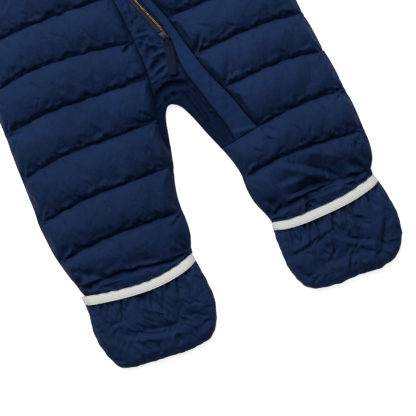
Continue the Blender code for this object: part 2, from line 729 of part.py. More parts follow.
def strip(name, left, right, low, rows, columns, thickness, finish_of):
    """A strip between two edges that are functions of y, lying at height low(x, y)."""
    def point(across, y):
        x = mix(left(y), right(y), across)
        return x, y, low(x, y)

    return layer_on(name, columns, rows, point, thickness, finish_of)


def make_zip():
    """Both tapes and the row of teeth that shows; they start above the slider."""
    level = FRONT_FLOOR + FACING_THICK + SEAM_GAP + 0.5
    low, high = ZIP_ENDS
    rows = steps(low, 130.0, 9) + steps(130.0, 250.0, 8)[1:] + steps(250.0, high, 6)[1:]
    strip("zip_tape_right", lambda y: tape_edge(y) + 0.5, teeth_edge, lambda x, y: level,
          rows, (0.0, 0.5, 1.0), TAPE_THICK, TAPE_CLOTH)
    strip("zip_tape_left", lambda y: flap_edge(y) + 1.2, lambda y: flap_seam(y) - 1.6,
          lambda x, y: level, rows, (0.0, 0.5, 1.0), TAPE_THICK, TAPE_CLOTH)
    above = level + TAPE_THICK + SEAM_GAP
    strip("zip_teeth_right", lambda y: teeth_edge(y) - TEETH_SIZE[0],
          lambda y: teeth_edge(y) + 0.2, lambda x, y: above, rows, (0.0, 0.5, 1.0),
          TEETH_SIZE[1], METAL)


def make_flap():
    """The storm flap: flat below, softly crowned, from the knee to the top of the collar."""
    def point(across, y):
        left = flap_edge(y)
        right = flap_seam(y) - 2 * SEAM_GAP
        x = mix(left, right, across)
        wave = 0.5 * math.sin(y / 11.0) * math.sin(math.pi * across)
        swell = (1.6 + wave) * math.sin(math.pi * across)
        lip = 0.8 * rounding(across * (right - left), 3.0)
        return x, above_knee(x, y), FLAP_FLOOR + FLAP_THICK - 0.8 + lip + swell

    bm = bmesh.new()
    start = LEFT_LINES[1][3] + 2 * SEAM_GAP
    rows = steps(start, 130.0, 24) + steps(130.0, 250.0, 8)[1:]
    rows += steps(250.0, front_top(4.0), 6)[1:]
    grid_of(bm, (0.0, 0.08, 0.3, 0.55, 0.8, 1.0), rows, point)
    close_below(bm, [(0.0, FLAP_FLOOR)])
    return finish("storm_flap", bm, NAVY_FACING)


# ---------------------------------------------------------------- slider and pull
SLIDER_AT = (23.6, 71.8)      # centre of its body
SLIDER_SIZE = (7.6, 10.0, 3.2)        # width, length, thickness
SLIDER_TAPER = 0.78           # width of its low end against the other
SLIDER_TURN = 16.0            # degrees, along the zip's slant
SLIDER_FLOOR = 15.4
EAR_AT = 2.3                  # from the pull's middle to each ear's middle
EAR_SIZE = (1.2, 5.0, 4.6)
PULL_PIN = (24.6, 68.0, 21.4)
PIN_RADIUS = 0.6
BORE_RADIUS = 1.0
BARREL_RADIUS = 1.8
BARREL_LENGTH = 2.8
ROUND_SIDES = 12
PULL_TURN = 14.5              # degrees from straight down the body
PULL_LENGTH = 38.0            # from the pin
PULL_WIDTH = 9.6
PULL_THICK = 1.6
PULL_ROWS = (0.9, 2.6, 4.6, 7.0, 12.0, 18.0, 24.0, 30.0, 35.0, 37.0, PULL_LENGTH)


def turned(x, y, centre, degrees):
    """A point turned about a centre in the plane."""
    turn = math.radians(degrees)
    return (centre[0] + x * math.cos(turn) - y * math.sin(turn),
            centre[1] + x * math.sin(turn) + y * math.cos(turn))


def box(bm, centre, size, degrees=0.0):
    """A box in table units, turned in the plane; returns its vertices."""
    made = bmesh.ops.create_cube(bm, size=1.0)["verts"]
    for vert in made:
        x, y = turned(vert.co.x * size[0], vert.co.y * size[1], centre, degrees)
        vert.co = place(x, y, centre[2] + vert.co.z * size[2])
    return made


def rounded(obj, width, segments=2):
    bevel = obj.modifiers.new("Edges", "BEVEL")
    bevel.width = width * MM
    bevel.segments = segments
    bevel.limit_method = "ANGLE"
    return obj


def round_bar(name, radius, length, finish_of):
    """A round bar along the pull's pin."""
    bm = bmesh.new()
    made = bmesh.ops.create_cone(bm, cap_ends=True, segments=ROUND_SIDES, radius1=radius,
                                 radius2=radius, depth=length)["verts"]
    for vert in made:
        along, low, high = vert.co.z, vert.co.x, vert.co.y
        x, y = turned(along, low, PULL_PIN, -PULL_TURN)
        vert.co = place(x, y, PULL_PIN[2] + high)
    return finish(name, bm, finish_of)


def boolean(obj, operation, other):
    """Join another object's volume to this one or take it away, and hide the other."""
    other.hide_render = True
    other.display_type = "WIRE"
    change = obj.modifiers.new(other.name, "BOOLEAN")
    change.operation = operation
    change.object = other


def make_slider():
    """A wedge body with two ears on top and a pin between them for the pull."""
    bm = bmesh.new()
    centre = (*SLIDER_AT, SLIDER_FLOOR + SLIDER_SIZE[2] / 2)
    body = box(bm, centre, SLIDER_SIZE, SLIDER_TURN)
    low_end = [vert for vert in body if vert.co.y < place(*centre)[1]]
    middle = place(*centre)[0]
    for vert in low_end:
        vert.co.x = middle + (vert.co.x - middle) * SLIDER_TAPER
    slider = rounded(finish("zip_slider", bm, METAL), 0.7)
    bm = bmesh.new()
    for step in (-EAR_AT, EAR_AT):
        x, y = turned(step, 0.0, PULL_PIN, -PULL_TURN)
        box(bm, (x, y, PULL_PIN[2] - 0.9), EAR_SIZE, -PULL_TURN)
    boolean(slider, "UNION", finish("slider_ears", bm, METAL))
    boolean(slider, "UNION", round_bar("slider_pin", PIN_RADIUS, 2 * EAR_AT + 0.4, METAL))
    return slider


def make_pull():
    """A barrel on the slider's pin and a long tab as wide as webbing."""
    bm = bmesh.new()

    def point(across, along):
        wide = mix(BARREL_LENGTH / 2 - 0.1, PULL_WIDTH / 2, ease((along - 2.0) / 5.0))
        wide *= 1 - 0.25 * ease((along - PULL_LENGTH + 3.0) / 3.0)
        x, y = turned(across * wide, -along, PULL_PIN, -PULL_TURN)
        drop = 2.2 * ease((along - 1.0) / 10.0)
        crown = 0.3 * (1 - across ** 2)
        return x, y, PULL_PIN[2] - PULL_THICK / 2 - drop + crown

    grid_of(bm, (-1.0, -0.7, 0.0, 0.7, 1.0), PULL_ROWS, point)
    made = bmesh.ops.extrude_face_region(bm, geom=bm.faces[:])["geom"]
    for item in made:
        if isinstance(item, bmesh.types.BMVert):
            item.co.z += PULL_THICK * MM
    pull = finish("zip_pull", bm, TAPE_CLOTH)
    pin = Vector(place(*PULL_PIN))
    pull.data.transform(Matrix.Translation(-pin))
    pull.location = pin
    boolean(pull, "UNION", round_bar("pull_barrel", BARREL_RADIUS, BARREL_LENGTH, TAPE_CLOTH))
    boolean(pull, "DIFFERENCE", round_bar("pull_bore", BORE_RADIUS, 2 * EAR_AT, TAPE_CLOTH))
    return pull


# ---------------------------------------------------------------- sleeves, cuffs and collar
class Sleeve:
    """One sleeve in its own terms: back from the cuff along it, and across from its top."""

    def __init__(self, side):
        turn = math.radians(SLEEVE_ANGLE)
        self.side = side
        self.along = (math.sin(turn), -math.cos(turn))
        self.across = (-math.cos(turn), -math.sin(turn))
        shoulder = np.array(SHOULDER)
        back, over = [], []
        for y in steps(UNDERARM[1], SHOULDER[1], 60):
            gone = np.array([armhole(y), y]) - shoulder
            back.append(SLEEVE_LENGTH - gone @ np.array(self.along))
            over.append(gone @ np.array(self.across))
        self.armhole_back = np.array(back)
        self.armhole_over = np.array(over)
        self.underarm_back = float(self.armhole_back[0])
        self.underarm_over = float(self.armhole_over[0])

    def world(self, back, over):
        reach = SLEEVE_LENGTH - back
        x = SHOULDER[0] + reach * self.along[0] + over * self.across[0]
        y = SHOULDER[1] + reach * self.along[1] + over * self.across[1]
        return MIDDLE_X + self.side * x, y

    def far_edge(self, back):
        """The underarm seam, then the armhole."""
        if back <= self.underarm_back:
            return mix(CUFF_WIDTH, self.underarm_over, back / self.underarm_back)
        return float(np.interp(back, self.armhole_back, self.armhole_over)) - 2 * SEAM_GAP

    def near_edge(self, back):
        """The folded top edge, a little round."""
        return -7.0 * math.sin(math.pi * min(back / SLEEVE_LENGTH, 1.0)) ** 1.2

    def point(self, across, back):
        near, far = self.near_edge(back), self.far_edge(back)
        over = mix(near, far, across)
        puff_share = ((back - SLEEVE_HEM) / SLEEVE_BAFFLE) % 1.0
        crown = SLEEVE_CROWN * (1 + CROWN_VARIES * math.sin(back / 17.0 + over / 29.0))
        high = mix(STITCH_THICK, crown, puff(puff_share))
        if back < SLEEVE_HEM:
            high = STITCH_THICK - 1.0
        width = far - near
        far_seam = 1.0 if back > self.underarm_back else 0.0
        far_high = mix(EDGE_THICK, SEAM_THICK, far_seam)
        high = mix(EDGE_THICK, high, rounding(across * width, SIDE_ROUND))
        high = mix(far_high, high, rounding((1 - across) * width, SIDE_ROUND))
        x, y = self.world(back, over)
        return x, y, FRONT_FLOOR + high


def sleeve_rows(sleeve):
    rows = [0.0, SLEEVE_HEM / 2]
    back = SLEEVE_HEM
    while back < SLEEVE_LENGTH:
        rows += [back + SLEEVE_BAFFLE * share for share in SLEEVE_PUFF_ROWS]
        back += SLEEVE_BAFFLE
    rows.append(sleeve.underarm_back)
    limit = SLEEVE_LENGTH - 3.0
    return sorted(row for row in rows if row < limit) + [limit]


SLEEVE_COLUMNS = (0.0, 0.025, 0.08, 0.18, 0.34, 0.52, 0.7, 0.86, 0.96, 1.0)


def make_sleeve(name, side):
    """The sleeve's two halves, which lie on each other as the front and the back do."""
    sleeve = Sleeve(side)
    rows = sleeve_rows(sleeve)
    bm = bmesh.new()
    grid_of(bm, SLEEVE_COLUMNS, rows, sleeve.point)
    close_below(bm, [(0.0, FRONT_FLOOR)])
    finish("sleeve_front_" + name, bm, NAVY_CLOTH)
    far_side = [sleeve.world(back, sleeve.far_edge(back)) for back in rows[::2] + rows[-1:]]
    near_side = [sleeve.world(back, sleeve.near_edge(back)) for back in reversed(rows[::3])]
    shoulder = sleeve.world(rows[-1], sleeve.near_edge(rows[-1]))
    flat_slab("sleeve_back_" + name, far_side + [shoulder] + near_side, PADDED_RINGS, NAVY_CLOTH)


def flat_loop(half_width, low, high, turns):
    """Points (across, z) round a flattened tube's wall, from the middle of its top."""
    radius = (high - low) / 2
    centre = (high + low) / 2
    straight = half_width - radius
    top = [(x, high) for x in steps(0.0, straight, 4)]
    side = [(straight + radius * math.sin(a), centre + radius * math.cos(a))
            for a in steps(0.0, math.pi, turns)[1:-1]]
    bottom = [(x, low) for x in steps(straight, -straight, 8)]
    other = [(-straight - radius * math.sin(a), centre + radius * math.cos(a))
             for a in steps(math.pi, 0.0, turns)[1:-1]]
    end = [(x, high) for x in steps(-straight, 0.0, 4)]
    return top + side + bottom + other + end


def make_cuff(name, side):
    """A narrow gathered binding, a short flattened tube at the sleeve's end."""
    sleeve = Sleeve(side)
    loop = flat_loop(CUFF_GATHERED / 2, *CUFF_LEVELS, 8)

    def point(number, along):
        across, z = loop[int(number)]
        ripple = 0.35 * math.sin(1.9 * number)
        over = CUFF_WIDTH / 2 + across
        x, y = sleeve.world(-SEAM_GAP * 2 - along, over)
        return x, y, z + (ripple if z > 5.0 else 0.0)

    bm = bmesh.new()
    grid_of(bm, list(range(len(loop))), steps(0.0, CUFF_LENGTH, 3), point)
    bmesh.ops.remove_doubles(bm, verts=bm.verts, dist=0.0001)
    bmesh.ops.recalc_face_normals(bm, faces=bm.faces)
    obj = finish(name, bm, NAVY_FACING)
    thick = obj.modifiers.new("Wall", "SOLIDIFY")
    thick.thickness = CUFF_WALL * MM
    thick.offset = 0.0
    return obj


def make_collar():
    """One strip from the right front edge round the back to the left front edge."""
    low, high = COLLAR_LEVELS
    radius = (high - low) / 2
    straight = COLLAR_HALF - radius
    right_front = right_seam(400.0) - SEAM_GAP - MIDDLE_X
    left_front = flap_seam(400.0) + SEAM_GAP - MIDDLE_X
    stations = [(x, high, 0.0) for x in steps(right_front, -straight, 5)]
    stations += [(-straight - radius * math.sin(a), low + radius * (1 + math.cos(a)), a / math.pi)
                 for a in steps(0.0, math.pi, 8)[1:-1]]
    stations += [(x, low, 1.0) for x in steps(-straight, straight, 10)]
    stations += [(straight + radius * math.sin(a), low + radius * (1 + math.cos(a)), a / math.pi)
                 for a in steps(math.pi, 0.0, 8)[1:-1]]
    stations += [(x, high, 0.0) for x in steps(straight, left_front, 5)]

    def point(number, share):
        across, z, at_back = stations[int(number)]
        x = MIDDLE_X + across
        inner = min(abs(across), NECK_SIDE[0] - 0.5)
        foot_front = top_y(MIDDLE_X + inner, NECK_DROP_FRONT)
        foot_back = top_y(MIDDLE_X + inner, NECK_DROP_BACK)
        foot = mix(foot_front, foot_back, at_back) + 5 * SEAM_GAP
        head = mix(front_top(x), COLLAR_END - 0.0008 * across ** 2, at_back)
        swell = 2.4 * puff(share) if at_back < 0.5 else 0.0
        return x, mix(foot, head, share), z + swell * (1 - at_back * 2 if at_back < 0.5 else 0)

    bm = bmesh.new()
    grid_of(bm, list(range(len(stations))), (0.0, 0.12, 0.35, 0.65, 0.88, 1.0), point)
    obj = finish("collar", bm, NAVY_CLOTH)
    thick = obj.modifiers.new("Wall", "SOLIDIFY")
    thick.thickness = COLLAR_WALL * MM
    thick.offset = 0.0
    thick.use_even_offset = True
    return obj


# ---------------------------------------------------------------- the whole garment
def main():
    for obj in list(bpy.data.objects):
        bpy.data.objects.remove(obj, do_unlink=True)
    make_front_right()
    make_front_left()
    make_back("back_right", -1)
    make_back("back_left", 1)
    make_gusset()
    make_placket()
    make_zip()
    make_flap()
    make_slider()
    make_pull()
    make_collar()
    for name, side in (("right", -1), ("left", 1)):
        make_sleeve(name, side)
        make_cuff("cuff_" + name, side)
    for name, foot in (("right", RIGHT_FOOT), ("left", LEFT_FOOT)):
        make_foot_cover("foot_cover_" + name, foot)
        make_foot_sole("foot_sole_" + name, foot)
        make_foot_band("foot_band_" + name, foot)


main()
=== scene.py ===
"""Dresses a baby's quilted snowsuit, lying flat on its back, in nylon, filling, tape and thread.

Tables are in millimetres from the crotch, as the cutter measures them: x to the wearer's left,
y towards the collar, z up from the surface. place() turns them into the frame's metres.
"""

import math

import bmesh
import bpy
import numpy as np
from bpy.props import FloatProperty, FloatVectorProperty, IntProperty, PointerProperty
from mathutils import Matrix, Vector
from mathutils.bvhtree import BVHTree
from mathutils.kdtree import KDTree


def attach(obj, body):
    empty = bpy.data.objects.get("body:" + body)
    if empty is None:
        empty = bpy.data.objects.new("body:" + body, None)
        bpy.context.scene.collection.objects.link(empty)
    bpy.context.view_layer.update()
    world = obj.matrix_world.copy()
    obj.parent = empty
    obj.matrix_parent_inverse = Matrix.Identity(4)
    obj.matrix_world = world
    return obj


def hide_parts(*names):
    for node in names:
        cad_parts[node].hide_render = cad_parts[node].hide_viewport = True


bl_info = {
    "name": "Quilted Snowsuit",
    "version": (1, 0, 0),
    "blender": (4, 5, 0),
    "location": "3D View > Sidebar > Snowsuit",
    "description": "Makes the visible cloth, filling, tape, zip and thread of a baby's snowsuit",
    "category": "Object",
}

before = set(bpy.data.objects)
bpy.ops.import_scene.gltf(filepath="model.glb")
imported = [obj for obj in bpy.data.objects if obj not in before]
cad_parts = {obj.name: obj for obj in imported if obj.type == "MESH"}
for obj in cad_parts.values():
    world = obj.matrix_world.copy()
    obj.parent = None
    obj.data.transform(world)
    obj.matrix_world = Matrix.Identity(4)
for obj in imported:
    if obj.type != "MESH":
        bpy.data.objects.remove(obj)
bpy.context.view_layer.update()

# ---------------------------------------------------------------- sizes, mm
MM = 0.001
SEAM_GAP = 0.4
MIDDLE_X = -4.0
FOOT_END = -260.0
COLLAR_END = 444.0
MIDDLE_Y = (FOOT_END + COLLAR_END) / 2
FAR_AWAY = 1000.0
DEEP_CREASE = 2.5        # creases deeper than this are wider, and lean over
BACK_THICK = 9.6
FRONT_FLOOR = 10.0
STITCH_THICK = 8.0
CROWN_THICK = 20.0
LEG_CROWN_LESS = 5.0
HEM_FULLNESS = 0.45
SLEEVE_CROWN = 17.0
EDGE_THICK = 1.4
SEAM_THICK = 5.6
SIDE_ROUND = 15.0
SEAM_ROUND = 9.0
FACING_THICK = 3.4
WRINKLED_THICK = 6.4
FLAP_FLOOR = 15.8
FLAP_THICK = 3.0
BAND_WIDTH = 10.0
COVER_LENGTH = 86.0
UNDERARM = (168.0, 225.0)
SHOULDER = (138.0, 385.0)
NECK_SIDE = (62.0, 402.0)
NECK_DROP_FRONT = 44.0
NECK_DROP_BACK = 12.0
SLEEVE_LENGTH = 270.0
SLEEVE_ANGLE = 45.0
SLEEVE_BAFFLE = 48.0
SLEEVE_HEM = 8.0
CUFF_WIDTH = 88.0
CUFF_LENGTH = 17.0
CUFF_GATHERED = 78.0
CUFF_WALL = 6.0
CUFF_LEVELS = (3.1, 12.5)
STITCH_RISE = 3.4        # height of the back's sewn lines above the surface
COLLAR_WALL = 7.6
COLLAR_LEVELS = (4.0, 14.6)
COLLAR_HALF = 64.0
COLLAR_FOOT = 400.0      # height at which the collar meets the edges of the opening
ZIP_ENDS = (78.0, 432.0)
KNEE_LINE = 3            # number of the sewn line on which the flap and the gusset end
LINE_APART = 50.0        # between two sewn lines of the quilting
HEM_APART = 14.0         # between the two sewn lines at a leg's end
THREAD_REACH = 9.0       # how far from a sewn line its pull on the cloth fades
FRONT_FULLNESS = 0.93
FRONT_ACROSS = 165.0     # widths from which the cells across are counted
LEFT_ACROSS = 150.0
LEFT_EXTRA = 45.0        # what the left leg has more of below the flap
BACK_COARSE = 1.35       # cells of the back are larger by this factor
HANG = {-1: 3.4, 1: 2.2}  # how far the lowest full puff of each front hangs over its line
SLEEVE_END = SLEEVE_LENGTH - 3.0
FRONT_SWELL = 5.0        # the furthest that the filling moves a point of each piece
SLEEVE_SWELL = 4.5
BACK_SWELL = 3.0
COLLAR_SWELL = 0.9
HIDDEN_LESS = 4          # steps fewer for pieces that hardly show
CLOTH_WALL = 1.1
FREE_HIGH = 30.0         # a height above every piece
WORN_TOP = 17.9          # the highest that the placket and the gusset come
FINE_CELL = 1.5
FLAP_CELL = 2.2
COVER_CELL = 1.7
SOLE_CELL = 2.6
SHOWN_TO = 135.0         # up to this height the placket and the flap get fine cells
GUSSET_FOOT = -47.0      # below it the right front's inner edge is the leg's
SEWN_FROM = -52.0        # up from here that edge rounds as a seam does
PUCKER_REACH = 24.0
SLACK_LEVELS = 12
SIDES = (("right", -1), ("left", 1))

# y, then x of: right leg outside, right leg inside, left leg inside, left leg outside
LEG_SECTIONS = (
    (-176, -180.6, -48, 45, 171),
    (-166, -177.6, -48.6, 45.4, 169.8),
    (-158, -175.8, -48, 44.2, 170.2),
    (-148, -178, -45.2, 41, 175.8),
    (-140, -180, -42, 38, 178.5),
    (-120, -184.5, -39, 35.5, 181.5),
    (-100, -188.5, -38, 36.5, 181.8),
    (-80, -189.4, -33.5, 33, 182),
    (-60, -190.2, -26, 26.5, 181),
    (-40, -187.6, -20.6, 20, 180),
    (-20, -187, -15.5, 14, 178.5),
    (-10, -186.3, -12, 10, 177.2),
    (-4, -186, -9.2, 5.8, 176.8),
    (-1, -185.9, -6.2, 2.6, 176.6),
    (0.5, -185.8, -4, -1, 176.5),
)
# y, then x of both sides of the body up to the underarm
BODY_SECTIONS = (
    (0.5, -185.8, 176.5),
    (20, -184.3, 175.2),
    (40, -183, 173.4),
    (80, -180.5, 172),
    (130, -177, 168.8),
    (180, -174, 165.8),
    (UNDERARM[1], MIDDLE_X - UNDERARM[0], MIDDLE_X + UNDERARM[0]),
)
# y, then distance of the armhole from the centre line
ARMHOLE_SECTIONS = (
    (UNDERARM[1], UNDERARM[0]),
    (243, 150.5),
    (275, 139),
    (320, 134),
    SHOULDER[::-1],
)
# y, then x of: the right front's seam, zip tape's edge, row of teeth, flap's edge, flap's seam
CENTRE_SECTIONS = (
    (-70, -23.6, 26.6, 26.6, 47.2, 78.2),
    (-46, -24.2, 26.6, 26.6, 45, 69.8),
    (-27, -25, 26.6, 26.6, 40.4, 65.2),
    (-2.5, -20, 26.6, 26.6, 34.8, 56.8),
    (16, -15.6, 26.6, 26.6, 30.4, 50.4),
    (38, -11.2, 26, 26.6, 27.6, 44.8),
    (63, -9.2, 19.6, 26.2, 28.9, 40.2),
    (79, -9.4, 18.4, 25.2, 27.4, 37.2),
    (94, -9.7, 13.8, 20.6, 23.4, 33.8),
    (110, -10, 8.6, 15.4, 18.6, 28.6),
    (130, -11.3, 2.6, 9.4, 12.8, 24),
    (160, -14, -5, 1.6, 5.4, 19.6),
    (200, -16.6, -10.4, -3.8, 0.4, 17.4),
    (260, -17.6, -11.4, -4.8, -0.6, 17),
    (COLLAR_END, -17.6, -11.4, -4.8, -0.6, 17),
)
# sewn lines: y at four places across each leg and front, from the side seam inwards
RIGHT_PLACES = (-188.0, -130.0, -75.0, -20.0)
RIGHT_LINES = (
    (-107, -104, -108, -114),
    (-60, -56, -59, -63),
    (-8, -2.5, -6.5, -10.5),
    (44, 47.5, 43, 37),
    (90.5, 97, 92, 81),
)
LEFT_PLACES = (180.0, 130.0, 85.0, 40.0)
LEFT_LINES = (
    (-115, -107.5, -104, -107),
    (-65.5, -60.5, -62, -67),
    (-17.5, -8.5, -7.5, -8.5),
    (29, 37.5, 39, 38),
    (80, 84, 86, 87),
)
HIDDEN_LINES = (140.0, 190.0, 240.0, 290.0, 340.0)
HIDDEN_SAG = (0.0, 3.0, 1.0, -4.0)
# leg ends: x, upper edge of the pale tape, height of the last short puff above it
RIGHT_LEG_END = (
    (-181, -150.8, 11),
    (-160, -156, 13),
    (-137.5, -161, 17),
    (-97, -165.4, 14),
    (-75, -164, 7.6),
    (-45, -157.6, 3),
)
LEFT_LEG_END = (
    (40, -163.8, 5),
    (65.6, -168.8, 13.8),
    (97, -170.6, 18.6),
    (131, -169.6, 16.6),
    (175, -162.4, 4),
)


# foot covers: share along the toe from the right, x and y of its seam
RIGHT_TOE = (
    (0, -178.6, -231),
    (0.05, -173.8, -240),
    (0.11, -165, -244),
    (0.3, -142, -248.6),
    (0.5, -118, -252),
    (0.78, -82, -254.2),
    (0.89, -69, -251.6),
    (0.95, -60.6, -245.4),
    (1, -53.6, -234.6),
)
LEFT_TOE = (
    (0, 44.4, -234),
    (0.05, 49.6, -244.4),
    (0.11, 57.4, -250.6),
    (0.22, 75, -255.6),
    (0.5, 108, -257.6),
    (0.78, 141, -260),
    (0.89, 155, -255.6),
    (0.95, 164, -247.4),
    (1, 171.6, -235),
)
# foot covers: share down from the tape, x of both sides
RIGHT_SIDES = (
    (0, -180.4, -49.2),
    (0.25, -180.6, -47.6),
    (0.5, -184.4, -46.6),
    (0.75, -183.6, -47.4),
    (1, -178.6, -53.6),
)
LEFT_SIDES = (
    (0, 44.6, 169.6),
    (0.25, 42.4, 173.4),
    (0.5, 41.2, 175.2),
    (0.75, 40.8, 175.6),
    (1, 44.4, 171.6),
)
# crotch gusset, from the right leg round the crotch: x, y of its inner and its outer edge
GUSSET_SECTIONS = (
    (-21.4, -43, -23.2, -41),
    (-17.6, -29, -24.4, -24),
    (-13.6, -14, -20.4, -5),
    (-9.4, -4.4, -17.2, 11),
    (-5.6, -0.4, -13.2, 25.4),
    (-1.6, 0.5, 2, 28),
    (2.2, -0.8, 20, 27),
    (5.8, -4, 33, 25.6),
    (9.4, -9.2, 46.6, 24.4),
    (12.6, -17, 51.6, 9),
    (16.2, -27, 58, -9),
    (20.4, -41, 65.4, -33),
    (25.4, -56, 71.2, -52),
    (28.8, -66.2, 75.6, -64.6),
)
# creases: x and y of both ends, depth (a ridge if below 0), half its width, bow to its left
RIGHT_FOOT_CREASES = (
    (-152, -209, -92, -227, 3, 4.6, -2.5),
    (-131, -212, -95, -221, 1.9, 3.2, -1.5),
    (-95, -221, -80, -205, 2, 3.4, 1),
    (-124, -174, -111, -196, 3.2, 5, 1),
    (-119, -188, -112, -216, 1.9, 3.2, -2),
    (-110, -184, -95, -216, 2.2, 3.4, -1.5),
    (-168, -199, -148, -195, 1.6, 3, 3.4),
    (-177, -186, -172, -210, 1.5, 3, 0),
    (-179, -226, -158, -237, 1.9, 4.6, -1.5),
    (-146, -218, -134, -241, 2, 3.6, 1),
    (-131, -222, -122, -246, 1.5, 3.2, -1),
    (-106, -226, -98, -246, 1.5, 4.2, 1.5),
    (-86, -214, -66, -236, 1.4, 4.6, 1.5),
    (-64, -176, -55, -216, 1.2, 3.8, 1),
    (-153, -168, -164, -186, 1.3, 2.8, 0),
    (-140, -172, -152, -189, 1.2, 2.6, 0.5),
    (-129, -174, -141, -185, 1.3, 2.6, 0),
)
LEFT_FOOT_CREASES = (
    (103, -199, 50, -207, 2.3, 3.6, 2),
    (108, -183, 103, -201, 1.9, 3, 1.6),
    (105, -205, 140, -229, 3, 4, -2.6),
    (98, -204, 93, -227, 1.9, 3.2, 1.4),
    (121, -183, 140, -210, 2.9, 4, -1.5),
    (167, -199, 135, -252, 2.2, 4.2, 1.5),
    (147, -224, 132, -249, 1.7, 3.2, 0),
    (109, -233, 101, -250, 1.6, 3.2, 0),
    (72, -230, 130, -238, 1.9, 6, 2),
    (50, -188, 58, -200, 1.6, 2.6, 0),
    (84, -182, 74, -203, 1.7, 2.8, 0.5),
    (95, -182, 85, -202, 1.8, 2.8, 0.5),
    (73, -182, 66, -198, 1.5, 2.6, 0.5),
    (151, -181, 160, -202, 1.5, 3.2, -1),
    (70, -214, 84, -246, 1.4, 4, 1),
    (50, -222, 62, -244, 1.4, 3.6, -1),
)
LEFT_LEG_CREASES = (
    (86, -110, 140, -153, 8.5, 5.4, 1.8),
    (100, -103, 154, -140, -3, 7, 1),
    (100, -129, 130, -149, 2, 4, 0),
    (92, -134, 124, -141, -2.6, 4, 1),
    (74, -145, 136, -152, 7.5, 4.4, 2.6),
    (92.5, -154, 88, -169, 6, 3.2, 0.6),
    (91, -155, 99, -168, 5, 2.8, 0),
    (50, -140, 59, -157, 4.6, 3.4, 1),
    (70, -128, 93, -130, 3.6, 4.4, 0.6),
    (148, -136, 168, -162, 7, 5.6, 0),
    (160, -124, 173, -158, 3.6, 3.6, 0),
    (134, -156, 146, -169, 4.2, 3, 0),
    (110, -156, 132, -158, 3.6, 3.4, 0),
    (62, -116, 70, -140, 2.6, 3.6, 1),
)
RIGHT_LEG_CREASES = (
    (-172, -121, -158, -143, 4.2, 4.4, 1.5),
    (-162, -130, -146, -143, 3.4, 4, 0),
    (-176, -128, -170, -150, 2.6, 3.4, 0),
    (-60, -134, -50, -158, 4, 3.8, 0),
    (-151, -150, -138, -160, 3, 3.2, 0),
    (-120, -139, -84, -148, 3, 5, 1),
)
PLACKET_CREASES = (
    (2, 60, 20, 59.4, 5, 3.2, 0.6),
    (0, 67, 17, 68, -1.8, 2.6, 0.8),
    (1, 79, 15, 66, 3.4, 2.6, -1),
    (-7, 51, 5, 71, 3.4, 2.8, -1.6),
    (-7, 66, 2, 77, 2.8, 2.4, 0.6),
    (-6, 41, 12, 47, 3.6, 3, 1.4),
    (-5, 47, 8, 53, -1.4, 2.4, 1),
    (17, 62, 14, 45, 3.2, 2.8, 0.8),
    (10, 58, 8, 48, 2.6, 2.4, 0),
    (2, 35, 20, 42, 2.8, 2.8, 1),
    (-4, 86, 10, 84, 2.4, 2.6, 0.8),
    (-9, 94, -3, 112, 2.4, 2.4, 0),
    (-2, 92, 4, 122, 2.5, 2.4, 0),
    (-8, 122, -5, 150, 2.2, 2.4, 0),
    (3, 108, 6, 140, 1.8, 2.4, 0),
)
GUSSET_CREASES = (
    (-17, 14, 24, 18, -2.6, 3.6, 8.5),
    (-14, 8, 21, 12, 5.2, 4, 7.5),
    (-9, 1, 16, 4, 3.4, 3.2, 5),
    (1, 21, -1, 0, 4, 2.8, 0),
    (9, 20, 15, -5, 3.6, 3, 0),
    (5, 12, 6, -2, 2.6, 2.2, 0),
    (-11, 18, -7, 0, 3.4, 2.8, 0),
    (22, 16, 34, -46, 4.2, 3.2, 1),
    (29, 10, 40, -44, -1.8, 3, 0),
    (14, 1, 24, -34, 3.4, 2.8, 0.6),
    (27, 2, 38, -40, 2.4, 2.6, 0),
    (24, -34, 33, -64, 3, 2.8, 0),
    (36, -34, 42, -64, 2.8, 2.6, 0),
    (31, -20, 40, -24, 2.4, 2, 0),
    (-17, 6, -20, -30, 2.6, 2.4, 0),
)
FLAP_CREASES = (
    (31, 58, 38, 40, 1.3, 2.6, 0),
    (36, 46, 45, 26, 1.1, 2.6, 0),
    (36, 20, 41, -6, 1, 2.6, 0),
    (50, -30, 54, -60, 0.9, 3, 0),
    (46, -52, 76, -58, 1.6, 3.2, -1),
    (52, 12, 46, -8, 0.8, 2.4, 0),
)
TOOTH_SIZE = (2.6, 1.35, 2.0)
TOOTH_PITCH = 1.72
TOOTH_UP = 2.9           # a tooth's middle above its tape
TOOTH_IN = 1.25          # and in from the row's outer edge
PULL_PIN = (24.6, 68.0, 21.4)
PULL_TURN = 14.5
PULL_LENGTH = 38.0
PULL_WIDTH = 9.6
PULL_THICK = 1.6
EAR_AT = 2.3
SLIDER_AT = (23.6, 71.8)
SLIDER_SIZE = (7.6, 10.0, 3.2)
SLIDER_TURN = 16.0
SLIDER_FLOOR = 15.4


# ---------------------------------------------------------------- curves and places
def smooth_curve(knots, values):
    """A function that runs smoothly through the values at the rising knots."""
    knots = np.array(knots, float)
    values = np.array(values, float)
    slopes = np.gradient(values, knots)

    def at(place_on):
        spot = np.clip(place_on, knots[0], knots[-1])
        i = np.clip(np.searchsorted(knots, spot, side="right") - 1, 0, len(knots) - 2)
        span = knots[i + 1] - knots[i]
        s = (spot - knots[i]) / span
        start = (1 + 2 * s) * (1 - s) ** 2 * values[i] + s * (1 - s) ** 2 * span * slopes[i]
        end = s * s * (3 - 2 * s) * values[i + 1] + s * s * (s - 1) * span * slopes[i + 1]
        return start + end

    return at


def column(table, index):
    """One column of a table as a smooth function of its first."""
    rows = sorted(table)
    return smooth_curve([row[0] for row in rows], [row[index] for row in rows])


def mix(a, b, share):
    return a + (b - a) * share


def ease(value):
    """0 below 0, 1 above 1, and smooth between."""
    value = np.clip(value, 0.0, 1.0)
    return value * value * (3 - 2 * value)


